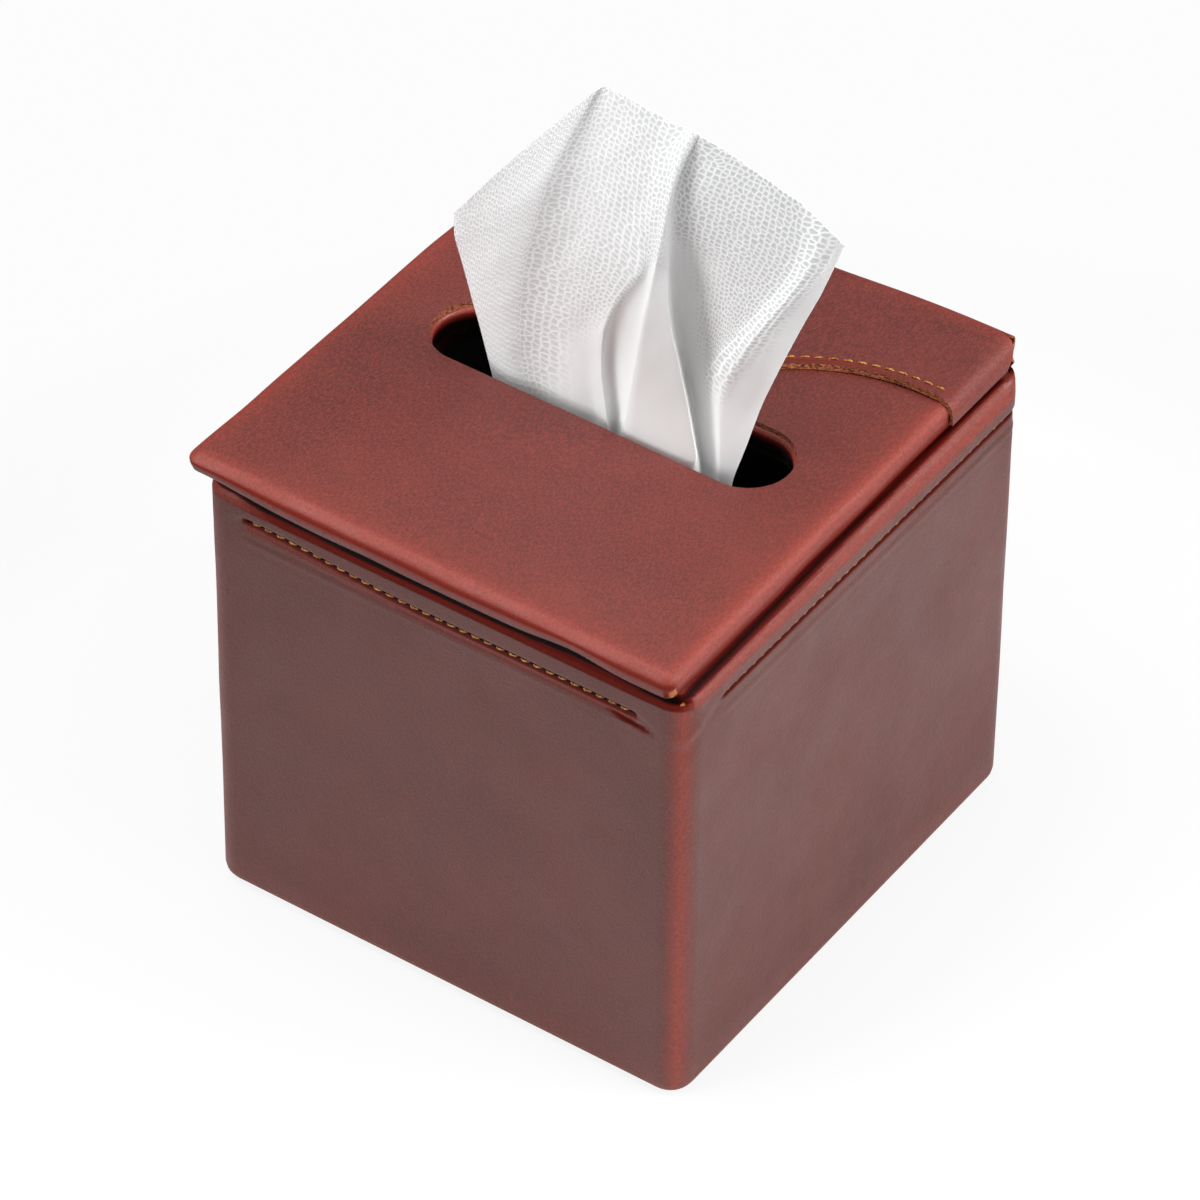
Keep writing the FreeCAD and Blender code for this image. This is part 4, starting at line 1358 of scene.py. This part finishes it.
# ------------------------------------------------------------------ paper
@dataclass
class PulledTissue:
    """The tissue that stands out of the slot, given by its folds from left to right."""

    mouth_rows: int = 15
    tail_rows: int = 5
    tail_end: float = 59.6
    lean: tuple[float, float, float] = (0.52, -0.63, 0.57)
    lean_most: float = 6.5
    foot_front: float = -10.5
    ply: float = 0.28
    folds: dict[str, tuple[float, float, list[tuple[float, float, float]]]] = field(
        default_factory=lambda: {
            # name: (where the embossing starts, how deep it is and so how dark its cells' painted
            # shade is, the points from the slot up)
            # The points are projected from places picked at guessed depths, and rounded.
            "left_edge": (0.03, 0.7, [(-36, -1, 129), (-40.5, -2, 150), (-44, -4, 169),
                                      (-45.5, -5, 176), (-44.5, -6, 185)]),
            "left_turn": (0.03, 0.7, [(-33.5, -2.5, 131), (-37.5, -4, 153), (-41, -6, 172),
                                      (-42, -7, 181), (-41, -7.5, 190)]),
            "left_panel": (0.03, 0.7, [(-29.5, -4, 132.5), (-30.5, -6, 154), (-30, -8, 175),
                                       (-27.5, -9, 194), (-23, -9, 215.5)]),
            "left_ridge": (0.03, 0.7, [(-25, -3, 132), (-26.5, -5.5, 153), (-23, -8.5, 179),
                                       (-13, -10.5, 216), (-0.5, -9, 244.5)]),
            "left_valley": (0.03, 0.8, [(-22, -2, 131.5), (-23, -4, 151.5),
                                        (-18, -6.8, 178), (-9.5, -8.8, 212.5), (0, -8, 245)]),
            "middle_ridge": (0.08, 0.7, [(-18, -2.5, 132), (-15, -5, 156.5), (-10, -7, 182.5),
                                         (-3, -9, 216.5), (2, -8, 246)]),
            "pucker": (0.26, 0.7, [(-8, -3, 134), (-8.5, -4.5, 146), (-9, -5.5, 155),
                                   (-9, -6.5, 165), (-8, -7, 175), (-6, -8, 190),
                                   (-2, -9, 210), (1.5, -9, 227), (5.5, -8.5, 246)]),
            "middle_panel": (0.30, 0.8, [(-5, -1.5, 131.5), (-5, -2.5, 144.5), (-5, -4, 153.5),
                                         (-3.5, -6.5, 166), (-1.5, -8, 179), (3, -9.5, 194),
                                         (7, -10, 212), (9.5, -10, 230), (12, -9.5, 246)]),
            "pocket_edge": (0.34, 0.8, [(0.5, -5, 135), (0.5, -6, 143.5), (0, -7, 154),
                                        (0.5, -8, 164.5), (1, -8.5, 169.5), (3.5, -9, 176.5),
                                        (6.5, -9.5, 184.5), (12, -11, 193), (16, -12.5, 199),
                                        (15, -11.5, 209), (15, -11, 220), (16, -10.5, 231),
                                        (17, -10, 239), (18.5, -9.5, 245.5)]),
            "pocket": (0.58, 0.8, [(-1, -1.5, 131.5), (-1, -2, 140), (-1.5, -2.5, 150),
                                   (-1.5, -3.5, 159.5), (0.5, -4.5, 166), (3, -5.5, 173),
                                   (7, -7, 180.5), (11.5, -9, 189.5), (17, -12, 198.5),
                                   (17.5, -12, 209), (18, -12, 220), (19, -11.5, 231),
                                   (20.5, -10.5, 239), (22, -10, 245.5)]),
            "pocket_back": (0.60, 0.8, [(1.5, -1.5, 132), (4, -2.5, 147.5), (7, -4, 164),
                                        (11, -7, 181), (16, -11, 196), (20, -13, 209),
                                        (21, -13, 220), (22.5, -12.5, 231.5),
                                        (24, -11.5, 240), (26.5, -10.5, 246.3)]),
            "main_ridge": (0.60, 0.8, [(6, -7, 137.5), (10, -9, 155), (13.5, -11, 172),
                                       (17, -13, 188), (20.5, -14.5, 202.5), (22.5, -15, 213),
                                       (23.5, -15, 220.5), (24.5, -15, 227.5), (26, -14.5, 236.5),
                                   (27.5, -13.5, 243), (29.2, -12, 247)]),
            "front_crease": (0.80, 0.8, [(28, -5.5, 137.5), (27, -7, 148.5), (26.5, -9, 162),
                                         (25, -11, 176.5), (23, -12.5, 187.5),
                                         (23, -13, 200.5), (22.5, -12, 208),
                                         (22, -11, 215), (22.5, -10.5, 223.5),
                                         (24.5, -10, 232), (27.5, -10, 240),
                                         (30.2, -11, 246.3)]),
            "crevice": (0.70, 1.0, [(25, 0, 131.5), (23, 0, 141.5), (21, 0, 153.5),
                                    (20, -2, 167.5), (19, -4, 179), (19.5, -6, 189.5),
                                    (20, -8, 200.5), (21, -9, 208.5), (23, -9.5, 218),
                                    (25, -9.5, 228), (28, -10, 237.5), (31.5, -11, 245.6)]),
            "hollow": (0.66, 1.0, [(26, 0.2, 130.5), (24.5, 0.6, 140.5), (22.5, 1.0, 151.5),
                                   (20.5, 0.5, 160.5), (20.5, -0.5, 171.5), (21.5, -2, 184),
                                   (21.5, -3.5, 197), (22.5, -5.5, 206), (24, -9, 215),
                                   (28, -10, 228.5), (31, -10, 237), (35, -10, 244.5)]),
            "hollow_side": (0.34, 1.0, [(27.8, 0, 131), (26.8, 0.3, 142), (25.5, 0.6, 151),
                                        (23.5, 0.5, 157), (27, -1, 170), (30.5, -2, 181),
                                        (32.5, -3, 191.5), (34, -4.5, 203), (36.5, -7, 213.5),
                                        (39.5, -9.5, 228), (42, -10, 236), (44, -10, 242)]),
            "deep_line": (0.26, 1.0, [(29, -0.4, 132), (28.3, -0.3, 140.5), (27.2, -0.5, 149),
                                      (26, -0.8, 157), (25.5, -1.5, 163), (29.5, -2.5, 171.5),
                                      (36, -3.5, 182), (42, -4.5, 192), (48.5, -6, 202.5),
                                      (54.5, -7.5, 213), (57.5, -8.5, 224), (58.5, -9, 237)]),
            "band_crest": (0.26, 1.0, [(31, -1.6, 134.5), (31.3, -2.2, 143.5), (31.8, -3, 152.5),
                                       (33, -4.2, 159.5), (35, -5.6, 167), (39, -6.9, 176.5),
                                       (44, -8.2, 187), (50, -9.2, 198), (56, -9.8, 208),
                                       (62, -10, 220), (65.3, -9.8, 234)]),
            "band_foot": (0.45, 0.8, [(31.7, -1.3, 133.5), (32, -1.9, 142.5), (32.8, -2.8, 151.5),
                                      (35, -3.8, 159.5), (38, -4.5, 170), (43, -5.5, 180.5),
                                      (48, -6.5, 192.5), (54.5, -7.5, 204.5), (62, -8.5, 216.5),
                                      (67, -9, 226.5), (68, -9, 232)]),
            "flap": (0.97, 0.5, [(32.6, -1, 133.5), (34.8, -1.5, 143.5), (36.8, -2, 152),
                                 (39.5, -2.5, 161), (44.5, -3.5, 172.5), (48.5, -4, 184),
                                 (53.5, -5, 196.5), (59, -6.5, 207.5), (65, -7.5, 220),
                                 (68.5, -8.5, 230.5)]),
            "right_edge": (0.97, 0.5, [(33.5, -0.5, 133), (38, 0, 147.5), (43, -0.5, 163.5),
                                       (48.8, -1.5, 178.5), (55, -3, 194), (62, -5.5, 209.5),
                                       (69.5, -8, 229.5)]),
        })
    sharp: dict[str, float] = field(default_factory=lambda: {
        "left_ridge": 0.4, "pocket_edge": 0.85, "main_ridge": 1.0, "front_crease": 1.0,
        "deep_line": 0.8, "band_crest": 0.3, "band_foot": 0.4})

    def _lines(self) -> tuple[np.ndarray, np.ndarray]:
        """The folds as rows of points from tail to top, and the embossing at each."""
        lines, pressed = [], []
        for start, deep, points in self.folds.values():
            route = np.array(points, float)
            room = np.clip((route[:, 1] - self.foot_front) / -self.lean[1], 0, self.lean_most)
            room *= 1 - ease(route[:, 2], 137, 168)
            route += room[:, None] * self.lean
            run = np.concatenate([[0], np.cumsum(np.linalg.norm(np.diff(route, axis=0), axis=1))])
            share = np.linspace(0, 1, self.mouth_rows)
            upper = np.stack([np.interp(share * run[-1], run, route[:, k]) for k in range(3)], 1)
            drop = np.linspace(1, 0, self.tail_rows, endpoint=False)[:, None]
            foot = np.array([route[0, 0] * 0.98 + 0.1, route[0, 1] * 0.8 + 0.2, self.tail_end])
            lower = upper[0] * (1 - drop) + foot * drop
            lines.append(np.concatenate([lower, upper]))
            pressed.append(np.concatenate([np.zeros(self.tail_rows),
                                           deep * ease(share, start - 0.07, start + 0.07)]))
        return np.array(lines), np.array(pressed)

    def build(self) -> bpy.types.Object:
        """Moves a flat grid's lines to the folds, smooths it and gives it two plies."""
        lines, pressed = self._lines()
        across, along = lines.shape[0] - 1, lines.shape[1] - 1
        sheet = Bench.grid("standing_tissue", across, along)
        grid = Bench.grid_places(sheet, across, along)
        i, j = grid.T
        wide = np.concatenate([[0], np.cumsum(np.linalg.norm(np.diff(
            lines[:, -4], axis=0), axis=1))])
        tall = np.zeros(lines.shape[:2])
        tall[:, 1:] = np.cumsum(np.linalg.norm(np.diff(lines, axis=1), axis=2), axis=1)
        layer = sheet.data.uv_layers[0] if sheet.data.uv_layers else sheet.data.uv_layers.new()
        for loop in sheet.data.loops:
            a, b = grid[loop.vertex_index]
            layer.data[loop.index].uv = (wide[a] * MM, tall[a, b] * MM)
        Bench.shape(sheet, lambda _: lines[i, j])
        store = sheet.data.attributes.new("embossed", "FLOAT", "POINT")
        store.data.foreach_set("value", pressed[i, j].astype(np.float32))
        self._crease(sheet, grid)
        levels = 3
        Bench.apply(sheet, "SUBSURF", levels=levels, render_levels=levels,
                    boundary_smooth="PRESERVE_CORNERS")
        Bench.shape(sheet, self._crumpled)
        Bench.face_alike(sheet)
        front = max(sheet.data.polygons, key=lambda f: f.center.z)
        if front.normal.y > 0:
            sheet.data.flip_normals()
        Bench.apply(sheet, "SOLIDIFY", thickness=self.ply * MM, offset=0.0)
        Bench.smooth(sheet, 75)
        return sheet

    def _crease(self, sheet: bpy.types.Object, grid: np.ndarray) -> None:
        """Keeps the named folds sharp where the sheet is smoothed."""
        names = list(self.folds)
        sharp = {names.index(name): value for name, value in self.sharp.items()}
        crease = sheet.data.attributes.new("crease_edge", "FLOAT", "EDGE")
        values = np.zeros(len(sheet.data.edges), np.float32)
        for edge in sheet.data.edges:
            a, b = (grid[v] for v in edge.vertices)
            if a[0] == b[0] and a[0] in sharp and min(a[1], b[1]) >= self.tail_rows:
                values[edge.index] = sharp[a[0]]
        crease.data.foreach_set("value", values)

    @staticmethod
    def _crumpled(points: np.ndarray) -> np.ndarray:
        """Adds the soft unevenness of pulled paper."""
        x, y, z = points.T
        moved = points.copy()
        high = ease(z, 140, 165)
        moved[:, 1] += high * (0.16 * ripple(x * 2.2, z * 1.2) + 0.06 * ripple(x * 5, z * 3.4))
        return moved


@dataclass
class FoldedStack:
    """The folded tissues in the box: leaves whose edges don't quite line up."""

    half: float = 52.5
    low: float = 8.5
    high: float = 58.5
    leaf: float = 1.25

    def build(self) -> bpy.types.Object:
        """Cuts a rounded block into leaves and shifts their edges."""
        stack = Bench.block("folded_tissues", (-self.half, -self.half, self.low),
                            (self.half, self.half, self.high))
        Bench.bevel(stack, upright(0.01), 2.0, 4)
        levels = np.arange(self.low + self.leaf / 2, self.high - 0.2, self.leaf / 2)
        Bench.slice(stack, 2, levels)
        Bench.slice(stack, 0, np.arange(-47.5, 48, 9.5))
        Bench.slice(stack, 1, np.arange(-47.5, 48, 9.5))

        def leaves(points: np.ndarray) -> np.ndarray:
            """Rounds every leaf's edge and shifts it a little."""
            x, y, z = points.T
            number = np.floor((z - self.low + 0.05) / self.leaf)
            round_edge = np.abs(np.sin(math.pi * (z - self.low) / self.leaf))
            inner = np.maximum(np.abs(x), np.abs(y)) > self.half - 3
            shift = 0.35 * np.sin(number * 12.9) + 0.2 * np.sin(number * 4.7)
            amount = np.where(inner, -0.45 * (1 - round_edge) - 0.3 + 0.3 * shift, 0)
            size = np.maximum(np.abs(x), np.abs(y))
            moved = points.copy()
            moved[:, 0] += np.sign(x) * amount * (np.abs(x) > self.half - 3)
            moved[:, 1] += np.sign(y) * amount * (np.abs(y) > self.half - 3)
            top = (z > self.high - 0.1) & (size < self.half - 1)
            moved[:, 2] += np.where(top, -0.35 + 0.3 * ripple(x * 0.7, y * 0.7), 0)
            return moved

        Bench.shape(stack, leaves)
        Bench.smooth(stack, 60)
        return stack


# ------------------------------------------------------------------ studio
@dataclass(frozen=True)
class Studio:
    """The floor, the lamps and the camera."""

    lens: float = 223.8
    eye: tuple[float, float, float] = (0.79299, -1.15802, 1.32687)
    right: tuple[float, float, float] = (0.8200, 0.5724, 0.0071)
    above: tuple[float, float, float] = (-0.3850, 0.5424, 0.7467)
    pool: float = 0.23
    pool_end: float = 0.31
    pool_x: float = 0.06
    pool_y: float = -0.03
    floor_light: float = 0.68
    floor_dim: float = 0.22
    sky_low: float = 0.12
    sky_high: float = 0.75

    def camera(self) -> None:
        """Sets the camera down."""
        data = bpy.data.cameras.new("camera")
        data.lens, data.sensor_width = self.lens, 36.0
        data.clip_start, data.clip_end = 0.05, 50.0
        camera = bpy.data.objects.new("camera", data)
        bpy.context.collection.objects.link(camera)
        side, up = Vector(self.right).normalized(), Vector(self.above).normalized()
        turn = Matrix((side, up, side.cross(up))).transposed().to_4x4()
        camera.matrix_world = Matrix.Translation(self.eye) @ turn
        bpy.context.scene.camera = camera

    def floor(self) -> None:
        """Lays the floor: near white to the camera; to other rays a painted pool of light, pale near
        the box and a darker grey further out.
        """
        bpy.ops.object.select_all(action="DESELECT")
        bpy.ops.mesh.primitive_plane_add(size=12)
        floor = Bench.named("floor")
        n = Nodes("pale_floor")
        length = n.add("VectorMath", operation="DISTANCE")
        length.inputs[1].default_value = (self.pool_x, self.pool_y, 0)
        n.link(n.place(), length.inputs[0])
        far = n.spread(length.outputs["Value"], self.pool, self.pool_end)
        colour = n.blend(far, (*[self.floor_light] * 3, 1), (*[self.floor_dim] * 3, 1))
        n.link(colour, n.shader.inputs["Base Color"])
        n.shader.inputs["Roughness"].default_value = 0.9
        glow = n.add("Emission")
        glow.inputs["Color"].default_value = (1, 1, 1, 1)
        seen = n.add("LightPath").outputs["Is Camera Ray"]
        mix = n.add("MixShader")
        n.link(n.combine("MULTIPLY", seen, n.spread(far, 0, 1, 0.85, 0.96)), mix.inputs[0])
        n.link(n.shader.outputs[0], mix.inputs[1])
        n.link(glow.outputs[0], mix.inputs[2])
        n.link(mix.outputs[0], n.tree.nodes["Material Output"].inputs["Surface"])
        floor.data.materials.append(n.material)

    def lamp(self, name: str, at: Sequence[float], size: float, watts: float) -> None:
        """Hangs one square soft lamp that looks at the box."""
        data = bpy.data.lights.new(name, "AREA")
        data.shape, data.size, data.energy = "SQUARE", size, watts
        lamp = bpy.data.objects.new(name, data)
        bpy.context.collection.objects.link(lamp)
        aim = Vector((0, 0, 0.1)) - Vector(at)
        lamp.matrix_world = Matrix.Translation(at) @ aim.to_track_quat("-Z", "Y").to_matrix().to_4x4()

    def world(self) -> None:
        """White to the camera. Other rays, shiny ones too, meet a sky that is dim low down."""
        world = bpy.data.worlds.new("surround")
        world.use_nodes = True
        tree = world.node_tree

        def add(kind: str, **settings: object) -> bpy.types.Node:
            """Adds one of the world's nodes."""
            node = tree.nodes.new(f"ShaderNode{kind}")
            for key, value in settings.items():
                setattr(node, key, value)
            return node

        around = add("TexCoord")
        parts = add("SeparateXYZ")
        tree.links.new(around.outputs["Generated"], parts.inputs[0])
        sky = add("MapRange", interpolation_type="SMOOTHSTEP")
        for key, value in (("From Min", 0.35), ("From Max", 0.85),
                           ("To Min", self.sky_low), ("To Max", self.sky_high)):
            sky.inputs[key].default_value = value
        tree.links.new(parts.outputs["Z"], sky.inputs["Value"])
        path = add("LightPath")
        seen = add("Math", operation="MAXIMUM")
        tree.links.new(path.outputs["Is Camera Ray"], seen.inputs[0])
        tree.links.new(path.outputs["Is Transmission Ray"], seen.inputs[1])
        shiny = add("Math", operation="MULTIPLY_ADD", use_clamp=True)
        tree.links.new(path.outputs["Is Glossy Ray"], shiny.inputs[0])
        shiny.inputs[1].default_value = 0.06
        tree.links.new(sky.outputs["Result"], shiny.inputs[2])
        level = add("Mix", data_type="FLOAT")
        tree.links.new(seen.outputs[0], level.inputs[0])
        tree.links.new(shiny.outputs[0], level.inputs[2])
        level.inputs[3].default_value = 1.0
        ground = tree.nodes["Background"]
        ground.inputs["Color"].default_value = (1, 1, 1, 1)
        tree.links.new(level.outputs[0], ground.inputs["Strength"])
        bpy.context.scene.world = world

    def set_up(self) -> None:
        """Puts the studio together."""
        self.camera()
        self.floor()
        self.world()
        self.lamp("key", (-0.35, -0.35, 1.80), 0.7, 14)
        self.lamp("front_card", (-1.0, -1.6, 0.95), 0.9, 28)
        self.lamp("side_card", (1.4, 0.35, 0.8), 1.0, 31)
        bpy.context.scene.view_settings.view_transform = "Standard"


# ------------------------------------------------------------------ putting it together
class TissueBox:
    """The whole object: its new pieces, and the solids that are kept."""

    def __init__(self, finishes: Finishes) -> None:
        """Keeps the finishes that the pieces take."""
        self.finishes = finishes

    def box(self) -> None:
        """The box's cover and its rows of thread."""
        f = self.finishes
        skin = BoxCover().build()
        settle(skin, "box", "cover_leather", ["body_leather"], f.walls[0], f.edge)
        crease(skin, f.walls[1:])
        rows = ThreadRows()
        for wall in Wall:
            row = rows.row(f"{wall.value}_thread", rows.straight(wall))
            settle(row, "box", "thread", [f"{wall.value}_stitches"], f.thread)

    def lid(self) -> None:
        """The lid's cover, collar, hinge leather and seam."""
        f = self.finishes
        cover = LidCover()
        lid = cover.build()
        settle(lid, "lid", "cover_leather", ["lid_leather"], f.cover[0], f.edge)
        for face in lid.data.polygons:
            if cover.is_raw(np.array(face.center) / MM, face.normal):
                face.material_index = 1
        crease(lid, f.cover[1:])
        settle(LidCore().build(), "lid", "board", ["lid_board"], f.board)
        collar = SlotCollar().build()
        settle(collar, "lid", "collar_leather", ["slot_collar"], f.collar[0])
        crease(collar, f.collar[1:])
        rows = ThreadRows()
        settle(rows.row("seam_thread", rows.along_seam()), "lid", "thread",
               ["seam_stitches"], f.thread)
        strip = HingeLeather().build()
        dress(strip, f.hinge, f.edge)
        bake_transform(strip)
        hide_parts("lid_hinge_leather", "hinge_back_leather")
        LOG.info("%s: %d faces", strip.name, len(strip.data.polygons))

    def paper(self) -> None:
        """The standing tissue and the stack under it."""
        f = self.finishes
        tissue = PulledTissue().build()
        settle(tissue, "tissue", "tissue_paper", ["pulled_tissue"], f.paper)
        # The cut sheet is 0.04 m2 in area; the mesh holds about 0.017 of it. The area given isn't
        # that of the cut sheet, which is 0.04 m2.
        settle(FoldedStack().build(), "box", "tissue_paper", ["tissue_stack"], f.stack)

    def kept(self) -> None:
        """Dresses the solids whose shapes stay."""
        f = self.finishes
        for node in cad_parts:
            if node.endswith("lining"):
                dress_node(node, f.lining)
            elif node.endswith("board") or node == "rim_strips":
                dress_node(node, f.board)
            elif node == "base_pad":
                dress_node(node, f.pad)


def main() -> None:
    """Builds and dresses everything."""
    logging.basicConfig(level=logging.INFO, format="%(name)s %(message)s")
    Studio().set_up()
    whole = TissueBox(Finishes())
    whole.box()
    whole.lid()
    whole.paper()
    whole.kept()


if __name__ == "__main__":
    main()
